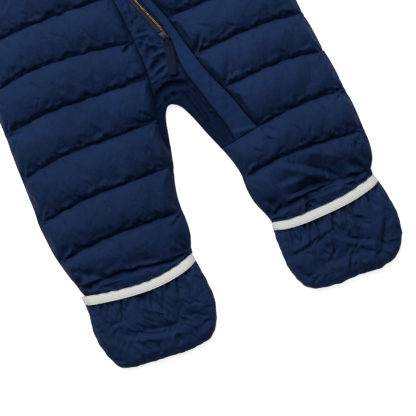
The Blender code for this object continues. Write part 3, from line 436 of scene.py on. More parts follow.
def rounding(distance, reach):
    """The height of a quarter round that starts at an edge: 0 there, 1 at its reach."""
    share = np.clip(distance / reach, 0.0, 1.0)
    return np.sqrt(1 - (1 - share) ** 2)


def sloping(distance, reach):
    """As rounding, but it leaves the edge at a slope, as thin padding does."""
    return 1 - (1 - np.clip(distance / reach, 0.0, 1.0)) ** 2.2


def steps(start, end, count):
    """Evenly spaced values from start to end."""
    return [mix(start, end, i / count) for i in range(count + 1)]


def place(x, y, z):
    """A table's point in metres, in the frame of the whole garment."""
    return ((x - MIDDLE_X) * MM, (y - MIDDLE_Y) * MM, z * MM)


def ripple(x, y, size, seed):
    """Soft seeded unevenness between -1 and 1, with bumps about size apart."""
    chance = np.random.RandomState(seed)
    total = 0.0
    for _ in range(5):
        angle = chance.uniform(0, 2 * math.pi)
        scale = 2 * math.pi / (size * chance.uniform(0.8, 1.7))
        shift = chance.uniform(0, 2 * math.pi)
        total = total + np.sin((x * math.cos(angle) + y * math.sin(angle)) * scale + shift)
    return total / 3.0


def mostly_short(chance, short, long):
    """A seeded length, from the short range seven times in ten."""
    return chance.uniform(*(short if chance.uniform() < 0.7 else long))


leg_right_out = column(LEG_SECTIONS, 1)
leg_right_in = column(LEG_SECTIONS, 2)
leg_left_in = column(LEG_SECTIONS, 3)
leg_left_out = column(LEG_SECTIONS, 4)
body_right = column(BODY_SECTIONS, 1)
body_left = column(BODY_SECTIONS, 2)
armhole = column(ARMHOLE_SECTIONS, 1)
right_seam = column(CENTRE_SECTIONS, 1)
tape_edge = column(CENTRE_SECTIONS, 2)
teeth_edge = column(CENTRE_SECTIONS, 3)
flap_edge = column(CENTRE_SECTIONS, 4)
flap_seam = column(CENTRE_SECTIONS, 5)
right_band = column(RIGHT_LEG_END, 1)
right_hem = column(RIGHT_LEG_END, 2)
left_band = column(LEFT_LEG_END, 1)
left_hem = column(LEFT_LEG_END, 2)


def side_x(y, sign):
    """The outer edge at a height: the leg, the body's side, then the armhole."""
    y = np.asarray(y, float)
    arm = MIDDLE_X + sign * (armhole(y) - 0.25)
    body = body_left(y) if sign > 0 else body_right(y)
    leg = leg_left_out(y) if sign > 0 else leg_right_out(y)
    return np.where(y > UNDERARM[1], arm, np.where(y > LEG_SECTIONS[-1][0], body, leg))


def top_y(x, neck_drop):
    """The upper edge: the shoulder slope, then the neckline."""
    out = np.abs(x - MIDDLE_X)
    share = (out - NECK_SIDE[0]) / (SHOULDER[0] - NECK_SIDE[0])
    dip = neck_drop * (1 + np.cos(math.pi * np.minimum(out / NECK_SIDE[0], 1.0))) / 2
    return np.where(out >= NECK_SIDE[0], mix(NECK_SIDE[1], SHOULDER[1], share), NECK_SIDE[1] - dip)


# ---------------------------------------------------------------- settings
class SnowsuitCloth(bpy.types.PropertyGroup):
    """Colours of the cloth, tape and metal."""

    nylon: FloatVectorProperty(
        name="Quilted nylon", description="Colour of the quilted cloth", subtype="COLOR",
        size=3, min=0.0, max=1.0, default=(0.0084, 0.0198, 0.0565))
    plain: FloatVectorProperty(
        name="Plain nylon", description="Colour of the unquilted cloth", subtype="COLOR",
        size=3, min=0.0, max=1.0, default=(0.0074, 0.0188, 0.0560))
    tape: FloatVectorProperty(
        name="Pale tape", description="Colour of the tape on the foot covers", subtype="COLOR",
        size=3, min=0.0, max=1.0, default=(0.51, 0.52, 0.50))
    zip_tape: FloatVectorProperty(
        name="Zip tape", description="Colour of the zip's two tapes", subtype="COLOR",
        size=3, min=0.0, max=1.0, default=(0.0095, 0.0100, 0.0165))
    pull: FloatVectorProperty(
        name="Pull", description="Colour of the pull's webbing", subtype="COLOR",
        size=3, min=0.0, max=1.0, default=(0.0055, 0.0080, 0.0210))
    # The brass is darker than bright brass: partly its dulled finish, partly painted shade for
    # teeth that lie partly under the flap.
    brass: FloatVectorProperty(
        name="Brass", description="Colour of the zip's teeth", subtype="COLOR",
        size=3, min=0.0, max=1.0, default=(0.26, 0.178, 0.072))
    thread: FloatVectorProperty(
        name="Thread", description="Colour of the sewing thread", subtype="COLOR",
        size=3, min=0.0, max=1.0, default=(0.0024, 0.0056, 0.0170))


class SnowsuitFilling(bpy.types.PropertyGroup):
    """How the quilting is filled and puckered."""

    cell: FloatProperty(
        name="Cell", description="Size of the squares that the cloth is worked out in, in mm",
        default=2.3, min=1.5, max=8.0)
    pressure: FloatProperty(
        name="Pressure", description="How hard the filling pushes the cloth out",
        default=3.2, min=0.0, max=30.0)
    spare: FloatProperty(
        name="Spare cloth", description="Share by which the cloth is longer than its seams",
        subtype="FACTOR", default=0.11, min=0.0, max=0.3)
    frames: IntProperty(
        name="Frames", description="Steps over which the filling swells", default=14, min=6,
        max=60)
    pucker: FloatProperty(
        name="Pucker", description="Depth of the small troughs beside the thread, in mm",
        default=1.9, min=0.0, max=4.0)


class SnowsuitStage(bpy.types.PropertyGroup):
    """Camera and light."""

    lens: FloatProperty(
        name="Lens", description="Focal length", subtype="DISTANCE_CAMERA", default=85.0,
        min=20.0, max=300.0)
    width: FloatProperty(
        name="Width shown", description="What the picture takes in at the garment's height",
        subtype="DISTANCE", unit="LENGTH", default=0.4576, min=0.1, max=3.0)
    turn: FloatProperty(
        name="Turn", description="How far the garment lies turned in the picture",
        subtype="ANGLE", unit="ROTATION", default=math.radians(24.8))
    key: FloatProperty(
        name="Main light", description="Strength of the large soft light, in watts",
        default=29.0, min=0.0, max=1000.0)
    fill: FloatProperty(
        name="Surrounding light", description="Strength of the even light from all round",
        default=0.15, min=0.0, max=10.0)


# ---------------------------------------------------------------- meshes
def grid_into(bm, xs, ys, zs):
    """A grid in bm with its points at the arrays' places; returns its vertices."""
    rows, columns = xs.shape
    before = len(bm.verts)
    bmesh.ops.create_grid(bm, x_segments=columns - 1, y_segments=rows - 1, size=1.0)
    bm.verts.ensure_lookup_table()
    verts = bm.verts[before:]
    px, py, pz = place(xs.ravel(), ys.ravel(), zs.ravel())
    for vert, x, y, z in zip(verts, px, py, pz):
        vert.co = (x, y, z)
    return verts


def sewn_bmesh():
    """A bmesh that can say which of its vertices thread holds."""
    bm = bmesh.new()
    bm.verts.layers.int.new("sewn")
    for key in ("loose", "along", "gap", "line"):
        bm.verts.layers.float.new(key)
    bm.edges.layers.float.new("crease_edge")
    return bm


def mark_cloth(bm, verts, sewn, loose=1.0, along=0.0, gap=99.0, line=0.0):
    """Flag the vertices that thread holds. Keep each one's share of spare cloth, its place
    along the nearest sewn line, its distance up from that line, and the line's number."""
    flags = bm.verts.layers.int["sewn"]
    for vert, held in zip(verts, np.ravel(sewn)):
        vert[flags] = int(held)
    for key, values in (("loose", loose), ("along", along), ("gap", gap), ("line", line)):
        layer = bm.verts.layers.float[key]
        for vert, value in zip(verts, np.ravel(np.broadcast_to(values, np.shape(sewn)))):
            vert[layer] = float(value)


def crease_sewn(bm):
    """Keep the edges along the thread sharp."""
    flags = bm.verts.layers.int["sewn"]
    sharp = bm.edges.layers.float["crease_edge"]
    for edge in bm.edges:
        if edge.verts[0][flags] and edge.verts[1][flags]:
            edge[sharp] = 1.0


def turn_faces(bm, up=True):
    """Turn all faces of a sheet up, or down."""
    bmesh.ops.recalc_face_normals(bm, faces=bm.faces)
    if (sum(face.normal.z for face in bm.faces) > 0) != up:
        bmesh.ops.reverse_faces(bm, faces=bm.faces)


def mesh_from(name, bm):
    mesh = bpy.data.meshes.new(name)
    bm.to_mesh(mesh)
    bm.free()
    return mesh


def object_from(name, bm):
    mesh = mesh_from(name, bm)
    mesh.shade_smooth()
    obj = bpy.data.objects.new(name, mesh)
    bpy.context.collection.objects.link(obj)
    return obj


def bmesh_of(obj):
    bm = bmesh.new()
    bm.from_mesh(obj.data)
    return bm


def keep_bmesh(obj, bm):
    bm.to_mesh(obj.data)
    bm.free()


def stamp(bm, template, change):
    """Add a small mesh to bm, moved by a matrix."""
    template.transform(change)
    bm.from_mesh(template)
    template.transform(change.inverted())


def evaluated(obj):
    """Apply every modifier: the object keeps the mesh that they give."""
    graph = bpy.context.evaluated_depsgraph_get()
    mesh = bpy.data.meshes.new_from_object(obj.evaluated_get(graph))
    old = obj.data
    obj.modifiers.clear()
    obj.data = mesh
    bpy.data.meshes.remove(old)
    return obj


def points_of(mesh):
    flat = np.empty(len(mesh.vertices) * 3)
    mesh.vertices.foreach_get("co", flat)
    return flat.reshape(-1, 3)


def move_to(obj, points):
    obj.data.vertices.foreach_set("co", points.ravel())


def values_of(obj, key):
    """A number kept for each of the mesh's vertices."""
    found = np.empty(len(obj.data.vertices))
    obj.data.attributes[key].data.foreach_get("value", found)
    return found


def normals_of(mesh):
    flat = np.empty(len(mesh.vertices) * 3, np.float32)
    mesh.vertex_normals.foreach_get("vector", flat)
    return flat.reshape(-1, 3)


def pucker(obj, seed, depth):
    """Draw the cloth in beside the thread: small uneven troughs that run off each line."""
    chance = np.random.RandomState(seed)
    along, gap, line = (values_of(obj, key) for key in ("along", "gap", "line"))
    away = np.abs(gap)
    total = np.zeros(len(gap))
    for number in range(int(line.max()) + 1):
        for above in (True, False):
            on = np.nonzero((np.abs(line - number) < 0.02) & ((gap > 0) == above) &
                            (away < PUCKER_REACH))[0]
            if len(on) == 0:
                continue
            spot, last = along[on].min(), along[on].max()
            while spot < last:
                spot += chance.uniform(2.2, 5.4)
                wide, lean = chance.uniform(0.9, 1.6), chance.uniform(-0.6, 0.6)
                long = mostly_short(chance, (3.0, 7.0), (8.0, 17.0))
                deep = depth * chance.uniform(0.25, 1.0)
                off = (along[on] - spot - lean * away[on]) / (wide * (1 + away[on] / 12.0))
                off = np.where(off * lean > 0, off / 1.8, off)
                total[on] += deep * np.exp(-np.abs(off) ** 1.5 - (away[on] / long) ** 2)
    total = total * ease(away / 1.8)
    move_to(obj, points_of(obj.data) - normals_of(obj.data) * (total * MM)[:, None])


def from_edge(obj):
    """Each point's distance from the nearest edge of its cloth, in mm."""
    bm = bmesh_of(obj)
    rim = [vert.co.copy() for vert in bm.verts if vert.is_boundary]
    bm.free()
    if not rim:
        return np.full(len(obj.data.vertices), FAR_AWAY)
    tree = KDTree(len(rim))
    for number, point in enumerate(rim):
        tree.insert(point, number)
    tree.balance()
    return np.array([tree.find(vert.co)[2] for vert in obj.data.vertices]) / MM


def swell(obj, pressure, spare, frames, most, bend=0.4):
    """Fill the cloth between its sewn lines by a cloth simulation, moving no point past most."""
    start = points_of(obj.data)
    rim = mix(0.3, 1.0, ease(from_edge(obj) / 10.0))
    flags = np.empty(len(start), int)
    obj.data.attributes["sewn"].data.foreach_get("value", flags)
    group = obj.vertex_groups.new(name="held")
    group.add([int(i) for i in np.nonzero(flags)[0]], 1.0, "REPLACE")
    slack = obj.vertex_groups.new(name="slack")
    level = np.round(values_of(obj, "loose") * SLACK_LEVELS).astype(int)
    for number in range(1, SLACK_LEVELS + 1):
        slack.add([int(i) for i in np.nonzero(level == number)[0]], number / SLACK_LEVELS,
                  "REPLACE")
    cloth = obj.modifiers.new("Filling", "CLOTH")
    cloth.settings.quality = 6
    cloth.settings.mass = 0.3
    cloth.settings.vertex_group_mass = group.name
    cloth.settings.tension_stiffness = 30.0
    cloth.settings.compression_stiffness = 30.0
    cloth.settings.shear_stiffness = 8.0
    cloth.settings.bending_stiffness = bend
    cloth.settings.air_damping = 3.0
    cloth.settings.use_pressure = True
    cloth.settings.uniform_pressure_force = pressure
    cloth.settings.vertex_group_shrink = slack.name
    cloth.settings.shrink_min = -spare * 0.15
    cloth.settings.shrink_max = -spare
    cloth.settings.effector_weights.gravity = 0.0
    cloth.collision_settings.use_collision = False
    cloth.point_cache.frame_end = frames
    scene = bpy.context.scene
    for number in range(1, frames + 1):
        scene.frame_set(number)
    evaluated(obj)
    scene.frame_set(1)
    moved = points_of(obj.data) - start
    far = np.linalg.norm(moved, axis=1)
    limit = most * MM
    keep = np.where(far > 1e-9, limit * np.tanh(far / limit) / np.maximum(far, 1e-9), 1.0)
    move_to(obj, start + moved * (keep * rim)[:, None])
    obj.vertex_groups.clear()


def swell_quilt(obj, filling, most, less=0):
    """Fill a quilted piece as the settings say, in fewer steps by less."""
    swell(obj, filling.pressure, filling.spare, filling.frames - less, most)


def refine(obj):
    """Divide and round every face once."""
    smooth = obj.modifiers.new("Smooth", "SUBSURF")
    smooth.levels = smooth.render_levels = 1
    evaluated(obj)


def edge_to(bm, floor):
    """Take the cloth's edge straight to a height. Returns what that makes."""
    rim = [edge for edge in bm.edges if edge.is_boundary]
    made = bmesh.ops.extrude_edge_only(bm, edges=rim)["geom"]
    for item in made:
        if isinstance(item, bmesh.types.BMVert):
            item.co.z = floor * MM
    return made


def smooth_faces(obj):
    """Shade smooth, apart from true corners."""
    obj.data.shade_smooth()
    obj.data.set_sharp_from_angle(angle=math.radians(70))


def close_at(obj, floor):
    """Take the cloth's edge straight to the height of its other side and close it there."""
    bm = bmesh_of(obj)
    made = edge_to(bm, floor)
    rim = [item for item in made if isinstance(item, bmesh.types.BMEdge) and item.is_boundary]
    filled = bmesh.ops.contextual_create(bm, geom=rim)["faces"]
    bmesh.ops.triangulate(bm, faces=filled)
    bmesh.ops.recalc_face_normals(bm, faces=bm.faces)
    keep_bmesh(obj, bm)
    smooth_faces(obj)


def thin_shell(obj, floor, wall):
    """Turn the cloth's edge down to a height and give the whole a wall inwards."""
    bm = bmesh_of(obj)
    edge_to(bm, floor)
    bmesh.ops.recalc_face_normals(bm, faces=bm.faces)
    if sum(face.normal.z * face.calc_area() for face in bm.faces) < 0:
        bmesh.ops.reverse_faces(bm, faces=bm.faces)
    keep_bmesh(obj, bm)
    walled(obj, wall)


def walled(obj, wall):
    """Give a sheet a wall inwards."""
    thick = obj.modifiers.new("Wall", "SOLIDIFY")
    thick.thickness = wall * MM
    thick.offset = -1.0
    evaluated(obj)
    smooth_faces(obj)


def cloth_from(name, grids, up=True):
    """A sheet made of grids of x, y, z and what mark_cloth keeps, joined where they meet."""
    bm = sewn_bmesh()
    for x, y, z, *cloth in grids:
        mark_cloth(bm, grid_into(bm, x, y, z), *cloth)
    if len(grids) > 1:
        bmesh.ops.remove_doubles(bm, verts=bm.verts, dist=0.00005)
    crease_sewn(bm)
    turn_faces(bm, up)
    return object_from(name, bm)


def crease_moves(table, x, y):
    """How far creases take the cloth down and along x and y. Each is gentle on its left, where
    a deep one leans over, and steep on its right, where it has a lip."""
    down, along_x, along_y = (np.zeros(np.shape(x)) for _ in range(3))
    for x0, y0, x1, y1, depth, half, bow in table:
        run_x, run_y = x1 - x0, y1 - y0
        length = math.hypot(run_x, run_y)
        near = np.abs(x - (x0 + x1) / 2) < abs(run_x) / 2 + 6 * half + abs(bow)
        near &= np.abs(y - (y0 + y1) / 2) < abs(run_y) / 2 + 6 * half + abs(bow)
        px, py = x[near], y[near]
        share = ((px - x0) * run_x + (py - y0) * run_y) / length ** 2
        inside = np.clip(share, 0.0, 1.0)
        off = ((py - y0) * run_x - (px - x0) * run_y) / length - bow * 4 * inside * (1 - inside)
        off, past = off / half, (share - inside) * length / half
        far = np.hypot(np.where(off < 0, off, off / 2.0), past)
        core = 1.25 * np.exp(-2.0 * np.sqrt(far ** 2 + 0.02))
        if depth > DEEP_CREASE:
            core = 0.4 * core + 0.7 * np.exp(-1.3 * far ** 1.7)
        shape = core - 0.5 * np.exp(-((off + 1.35) * 1.4) ** 2 - past ** 2)
        fade = np.sin(math.pi * mix(0.06, 0.94, inside)) ** 0.7
        down[near] += depth * shape * fade
        if depth > DEEP_CREASE:
            push = 0.3 * (depth - 2.0) * np.exp(-((off - 0.8) * 1.1) ** 2 - past ** 2) * fade
            along_x[near] += push * run_y / length
            along_y[near] -= push * run_x / length
    return down, along_x, along_y


def crease_depth(table, x, y):
    """How deep creases are at points of a piece that isn't made yet."""
    return crease_moves(table, x, y)[0]


def wrinkles(count, left, right, low, high, lean, spread, seed, deep=0.5, half=1.7):
    """Small seeded creases scattered over a piece, most of them turned by lean degrees."""
    chance = np.random.RandomState(seed)
    out = []
    for _ in range(count):
        x, y = chance.uniform(left, right), chance.uniform(low, high)
        angle = math.radians(chance.normal(lean, spread))
        length = mostly_short(chance, (4.0, 10.0), (10.0, 20.0))
        run_x, run_y = length / 2 * math.cos(angle), length / 2 * math.sin(angle)
        out.append((x - run_x, y - run_y, x + run_x, y + run_y, deep * chance.uniform(0.4, 1.3),
                    half * chance.uniform(0.7, 1.35), chance.uniform(-1.0, 1.0)))
    return tuple(out)


def hollows(paths, seed):
    """Places beside the sewn lines where the filling is thin: wide creases above each line."""
    chance = np.random.RandomState(seed)
    out = []
    for path in paths:
        left, right = sorted((path[0][0], path[-1][0]))
        x = left + chance.uniform(4.0, 16.0)
        while x < right - 6.0:
            y = path[int(np.argmin(np.abs(path[:, 0] - x)))][1] + chance.uniform(4.0, 8.0)
            long, rise = chance.uniform(8.0, 20.0), chance.uniform(-5.0, 6.0)
            out.append((x, y, min(x + long, right - 3.0), y + rise, chance.uniform(1.0, 2.4),
                        chance.uniform(2.4, 4.2), chance.uniform(-1.5, 1.5)))
            x += long + chance.uniform(2.0, 26.0)
    return tuple(out)


def gathers(edge, start, end, seed):
    """Uneven folds that hang down from a gathered edge."""
    chance = np.random.RandomState(seed)
    out, x = [], start
    while x < end:
        y, long = float(edge(x)), chance.uniform(7.0, 13.0)
        if chance.uniform() < 0.35:
            long += chance.uniform(5.0, 14.0)
        out.append((x, y + 2.5, x + chance.uniform(-0.4, 0.25) * long, y - long,
                    chance.uniform(1.4, 3.6), chance.uniform(1.5, 2.7), chance.uniform(-1.2, 1.2)))
        x += chance.uniform(3.2, 8.5)
    return tuple(out)


def press_creases(obj, table, floor):
    """Press a table's creases into a piece's upper side, down to a floor at most."""
    points = points_of(obj.data)
    x = points[:, 0] / MM + MIDDLE_X
    y = points[:, 1] / MM + MIDDLE_Y
    z = points[:, 2] / MM
    free = np.clip((z - floor) / 5.0, 0.0, 1.0) * ease(np.abs(values_of(obj, "gap")) / 2.0)
    down, along_x, along_y = crease_moves(table, x, y)
    points[:, 0] += along_x * free * MM
    points[:, 1] += along_y * free * MM
    points[:, 2] = (z + above_floor(z - down * free, floor) - above_floor(z, floor)) * MM
    move_to(obj, points)


def above_floor(z, floor, soft=3.0):
    """A height that eases to a stop at a floor."""
    return np.where(z < floor + soft,
                    floor + soft * np.exp(np.minimum((z - floor) / soft - 1.0, 0.0)), z)


def keep_level(obj, lowest, highest=FREE_HIGH):
    """Keep a piece's points between two heights."""
    points = points_of(obj.data)
    points[:, 2] = np.clip(points[:, 2], lowest * MM, highest * MM)
    move_to(obj, points)


def dress(obj, material, nodes=(), body="garment"):
    """Give a finished piece its material, its body and the nodes it stands for."""
    obj.data.materials.clear()
    obj.data.materials.append(material)
    if nodes:
        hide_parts(*nodes)
    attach(obj, body)
    return obj


# ---------------------------------------------------------------- thread
def sew(name, paths, pitch, length, width, lift=0.25):
    """Stitches along paths of (x, y, z) points, pitch apart and half sunk in the cloth."""
    stitch, bm = bmesh.new(), bmesh.new()
    bmesh.ops.create_uvsphere(stitch, u_segments=5, v_segments=3, radius=0.5)
    template = mesh_from("stitch", stitch)
    for path in paths:
        path = np.array(path, float)
        gone = np.concatenate([[0.0], np.cumsum(np.linalg.norm(np.diff(path, axis=0), axis=1))])
        count = int(gone[-1] / pitch)
        for number in range(count):
            ends = [(number + 0.5) * pitch - length / 2, (number + 0.5) * pitch + length / 2]
            a, b = (np.array([np.interp(end, gone, path[:, i]) for i in range(3)]) for end in ends)
            middle, run = (a + b) / 2, Vector(b - a).normalized()
            lying = Vector((1.0, 0.0, 0.0)).rotation_difference(run).to_matrix().to_4x4()
            spot = Vector(place(middle[0], middle[1], middle[2] + lift))
            size = Matrix.Diagonal((length * MM, width * MM, width * MM, 1.0))
            stamp(bm, template, Matrix.Translation(spot) @ lying @ size)
    bpy.data.meshes.remove(template)
    return object_from(name, bm)


def on_surface(obj, paths):
    """The paths, each point at the height of the piece's upper side under it."""
    tree = BVHTree.FromObject(obj, bpy.context.evaluated_depsgraph_get())
    out = []
    for path in paths:
        found = []
        for x, y in path:
            px, py, _ = place(x, y, 0.0)
            hit = tree.ray_cast(Vector((px, py, 0.2)), Vector((0.0, 0.0, -1.0)))[0]
            if hit:
                found.append((x, y, hit.z / MM))
        if len(found) > 1:
            out.append(found)
    return out


# ---------------------------------------------------------------- quilting
def puff(share):
    """Height of the filling between two sewn lines, 0 at each and 1 halfway."""
    return np.maximum(4 * share * (1 - share), 0.0) ** 0.44


def line_rows(lines, places, band, hem, top):
    """Functions y(x) for every sewn line of one side, from the leg's end to the top."""
    order = sorted(range(len(places)), key=lambda i: places[i])
    knots = [places[i] for i in order]
    rows = [lambda x: band(x) + 0.1, lambda x: band(x) + hem(x)]
    for heights in lines:
        rows.append(smooth_curve(knots, [heights[i] for i in order]))
    for height in HIDDEN_LINES:
        rows.append(smooth_curve(knots, [height + HIDDEN_SAG[i] for i in order]))
    rows.append(top)
    return rows


def side_lines(side, neck_drop):
    """One side's sewn lines, up to the shoulder and a neckline of that depth."""
    def top(x):
        return top_y(x, neck_drop) - SEAM_GAP

    if side < 0:
        return line_rows(RIGHT_LINES, RIGHT_PLACES, right_band, right_hem, top)
    return line_rows(LEFT_LINES, LEFT_PLACES, left_band, left_hem, top)


def quilt_rows(line_count, cell):
    """Row numbers: the whole part is the puff's number, the rest its share."""
    rows = [i / 6 for i in range(6)]
    count = max(6, round(36.0 / cell))
    for number in range(1, line_count - 1):
        rows += [number + mix(i / count, (1 - math.cos(math.pi * i / count)) / 2, 0.5)
                 for i in range(count)]
    return np.array(rows + [float(line_count - 1)])


def quilt_plan(side, lines, outer, inner, across, row):
    """x, y, puff number and share in it of points across from the side seam and up the rows."""
    number = np.clip(row.astype(int), 0, len(lines) - 2)
    share = row - number

    def on_line(which, x):
        heights = np.array([line(x) for line in lines])
        return np.take_along_axis(heights, which[None], 0)[0]

    x = np.full(across.shape, side * 100.0)
    y = on_line(number, x)
    for _ in range(7):
        x = mix(outer(y), inner(y), across)
        y = mix(on_line(number, x), on_line(number + 1, x), share)
    return x, y, number, share


def thread_gap(share, number):
    """Distance up from the nearest sewn line, in mm, and that line's number."""
    apart = np.where(number == 0, HEM_APART, LINE_APART)
    gap = np.where(share > 0.5, share - 1, share) * apart
    return gap, number + (share > 0.5)


def near_thread(gap):
    """How near a point is to a sewn line: 1 on it, fading out within a third of the puff."""
    return np.exp(-(np.abs(gap) / THREAD_REACH) ** 1.5)


def fans(ends, seed):
    """Creases that fan out where a sewn line runs into a seam: (x, y, turn towards the cloth)."""
    chance = np.random.RandomState(seed)
    out = []
    for x, y, inwards in ends:
        for _ in range(chance.randint(5, 10)):
            angle = math.radians(chance.uniform(12.0, 68.0)) * chance.choice((-1, 1))
            length = chance.uniform(10.0, 26.0)
            start = chance.uniform(1.0, 4.0)
            run = (inwards * math.cos(angle), math.sin(angle))
            out.append((x + run[0] * start, y + run[1] * start, x + run[0] * length,
                        y + run[1] * length, chance.uniform(1.0, 2.4), chance.uniform(1.6, 3.2),
                        chance.uniform(-1.0, 1.0)))
    return tuple(out)


def front_height(x, y, number, share, to_side, to_seam, at_seam):
    """Height of the quilted front: full between sewn lines, falling away to its edges."""
    crown = CROWN_THICK * FRONT_FULLNESS - LEG_CROWN_LESS * ease((-95.0 - y) / 50.0)
    crown = crown * (1 + 0.05 * np.sin(2.3 * number + x / 37.0))
    thread = STITCH_THICK - 3.0 * np.exp(-((number + share - 1) / 0.3) ** 2)
    thread = thread + 1.4 * np.exp(-((number + share) / 0.4) ** 2)
    high = mix(thread, crown, puff(share) * np.where(number == 0, HEM_FULLNESS, 1.0))
    inner_edge = mix(EDGE_THICK, SEAM_THICK, at_seam)
    inner_reach = mix(SIDE_ROUND, SEAM_ROUND, at_seam)
    armhole_part = y > UNDERARM[1]
    outer_edge = np.where(armhole_part, SEAM_THICK, EDGE_THICK)
    outer_reach = np.where(armhole_part, SEAM_ROUND, SIDE_ROUND)
    high = mix(outer_edge, high, np.where(armhole_part, rounding(to_side, outer_reach),
                                          sloping(to_side, outer_reach)))
    high = mix(inner_edge, high, mix(sloping(to_seam, inner_reach),
                                     rounding(to_seam, inner_reach), at_seam))
    return FRONT_FLOOR + high


def right_inner(y):
    """The right front's inner edge: the leg's inside, then the seam at the placket."""
    leg = np.minimum(leg_right_in(np.minimum(y, 0.5)), 0.0)
    return np.where(y < GUSSET_FOOT, leg, right_seam(y) - SEAM_GAP)


def left_inner(y):
    """The left front's inner edge, at the flap's seam."""
    return flap_seam(y) + SEAM_GAP


def sewn_paths(x, y, z, rows):
    """The quilting's sewn lines as paths for the thread."""
    return [np.stack([x[i], y[i], z[i]], axis=1) for i, row in enumerate(rows)
            if row == int(row) and 0 < row < rows.max()]


def front_arrays(side, lines, outer, inner, columns, rows, at_seam=None):
    """A quilted front's points and what mark_cloth keeps. at_seam is 1 where the inner edge is
    sewn to the opening and 0 where it is the leg's inside. Left out, its height decides."""
    across, row = np.meshgrid(columns, rows)
    x, y, number, share = quilt_plan(side, lines, outer, inner, across, row)
    width = np.abs(inner(y) - outer(y))
    seam = ease((y - SEWN_FROM) / 10.0) if at_seam is None else at_seam
    z = front_height(x, y, number, share, across * width, (1 - across) * width, seam)
    pinch = 1.2 * (1 - puff(share)) * np.maximum(0.0, 1 - across * width / 8.0)
    sewn = (share == 0.0) | (across == 0.0) | (across == across.max())
    sewn |= row == row.max()
    gap, line = thread_gap(share, number)
    near = near_thread(gap)
    wander = 0.6 * ripple(x, number * 31.0, 17.0, 7 + side) * near
    wander = wander * (row < row.max()) * ease(row / 0.5)
    uneven = 0.4 * ripple(x, y, 26.0, 5 + side) * (1 - near)
    uneven = uneven + 0.7 * ripple(x, number * 17.0, 11.0, 15 + side) * near
    inner_part = ease(across * width / 12.0) * ease((1 - across) * width / 12.0)
    hang = HANG[side] * np.exp(-((row - 1.15) / 0.1) ** 2)
    hang = hang * (row > 1) * inner_part
    return (x - side * pinch, y + wander * inner_part - hang, z + uneven * inner_part, sewn,
            near, x, gap, line)


def quilt_front(name, side, filling):
    """One quilted front, from the leg's end to the shoulder, and the paths of its thread."""
    outer = side_of(side)
    lines = side_lines(side, NECK_DROP_FRONT)
    rows = quilt_rows(len(lines), filling.cell)
    if side < 0:
        columns = np.linspace(0.0, 1.0, round(FRONT_ACROSS / filling.cell) + 1)
        grid = front_arrays(side, lines, outer, right_inner, columns, rows)
        grids = [grid]
        paths = sewn_paths(*grid[:3], rows)
        creases = RIGHT_LEG_CREASES
    else:
        columns = np.linspace(0.0, 1.0, round(LEFT_ACROSS / filling.cell) + 1)
        above = rows[rows >= KNEE_LINE]
        below = rows[rows <= KNEE_LINE]
        upper = front_arrays(side, lines, outer, left_inner, columns, above, 1.0)
        seam_x, seam_y = upper[0][0, -1], upper[1][0, -1]
        outside = float(side_x(seam_y, 1))
        share = (outside - seam_x) / (outside - float(leg_left_in(seam_y)))
        extra = np.linspace(share, 1.0, round(LEFT_EXTRA / filling.cell) + 1)[1:]
        wide = np.concatenate([columns * share, extra])
        lower = front_arrays(side, lines, outer, leg_left_in, wide, below, 0.0)
        for whole, part in zip(lower[:3], upper[:3]):
            whole[-1, :len(columns)] = part[0]
        grids = [upper, lower]
        paths = sewn_paths(*lower[:3], below) + sewn_paths(*upper[:3], above)
        creases = LEFT_LEG_CREASES
    obj = cloth_from(name, grids)
    swell_quilt(obj, filling, FRONT_SWELL)
    refine(obj)
    ends = [(path[0][0], path[0][1], -side) for path in paths]
    ends += [(path[-1][0], path[-1][1], side) for path in paths]
    middle = side * 95.0
    creases += fans(ends, 70 + side) + hollows(paths, 50 + side)
    creases += wrinkles(560, middle - 100.0, middle + 100.0, -165.0, 400.0, 90.0, 34.0,
                        60 + side, 1.35, 1.3)
    press_creases(obj, creases, FRONT_FLOOR + 2.0)
    pucker(obj, 80 + side, filling.pucker)
    close_at(obj, FRONT_FLOOR + 0.1)
    return obj, paths


def side_of(side):
    """The outer edge of one side as a function of the height."""
    return lambda y: side_x(y, side)


def back_inner(side):
    """The leg's inside, then the seam down the middle of the back."""
    leg_in = leg_left_in if side > 0 else leg_right_in
    middle = MIDDLE_X + side * SEAM_GAP

    def inner(y):
        leg = leg_in(np.minimum(y, 0.5))
        leg = np.maximum(leg, middle) if side > 0 else np.minimum(leg, middle)
        return np.where(y > 0.5, mix(leg, middle, ease((y - 0.5) / 3.0)), leg)

    return inner


def underside(share, rims, number=None):
    """Height of a padded piece's lower side: flat on the surface, up at thread and rims."""
    low = mix(STITCH_RISE, -2.0, puff(share))
    if number is not None:
        low = np.where(number == 0, mix(STITCH_RISE, 0.4, puff(share)), low)
    low = np.maximum(low, 0.02)
    for distance in rims:
        low = mix(7.6, low, rounding(distance, 8.0))
    return low


def quilt_back(name, side, filling):
    """One half of the quilted back, flat where it lies on the surface."""
    lines = side_lines(side, NECK_DROP_BACK)
    rows = quilt_rows(len(lines), filling.cell * BACK_COARSE)
    columns = np.linspace(0.0, 1.0, round(FRONT_ACROSS / filling.cell / BACK_COARSE) + 1)
    across, row = np.meshgrid(columns, rows)
    outer, inner = side_of(side), back_inner(side)
    x, y, number, share = quilt_plan(side, lines, outer, inner, across, row)
    width = np.abs(inner(y) - outer(y))
    ends = 8.0 * np.abs(np.clip(row, 0, 0.16) / 0.16), (row.max() - row) * LINE_APART
    z = underside(share, (across * width, (1 - across) * width, *ends), number)
    sewn = (share == 0.0) | (across == 0.0) | (across == 1.0) | (row == row.max())
    gap, line = thread_gap(share, number)
    obj = cloth_from(name, [(x, y, z, sewn, near_thread(gap), x, gap, line)], up=False)
    swell_quilt(obj, filling, BACK_SWELL, HIDDEN_LESS)
    keep_level(obj, 0.02)
    refine(obj)
    pucker(obj, 90 + side, filling.pucker * 0.7)
    keep_level(obj, 0.0)
    close_at(obj, BACK_THICK - 0.1)
    return obj, sewn_paths(x, y, z - 0.5, rows)


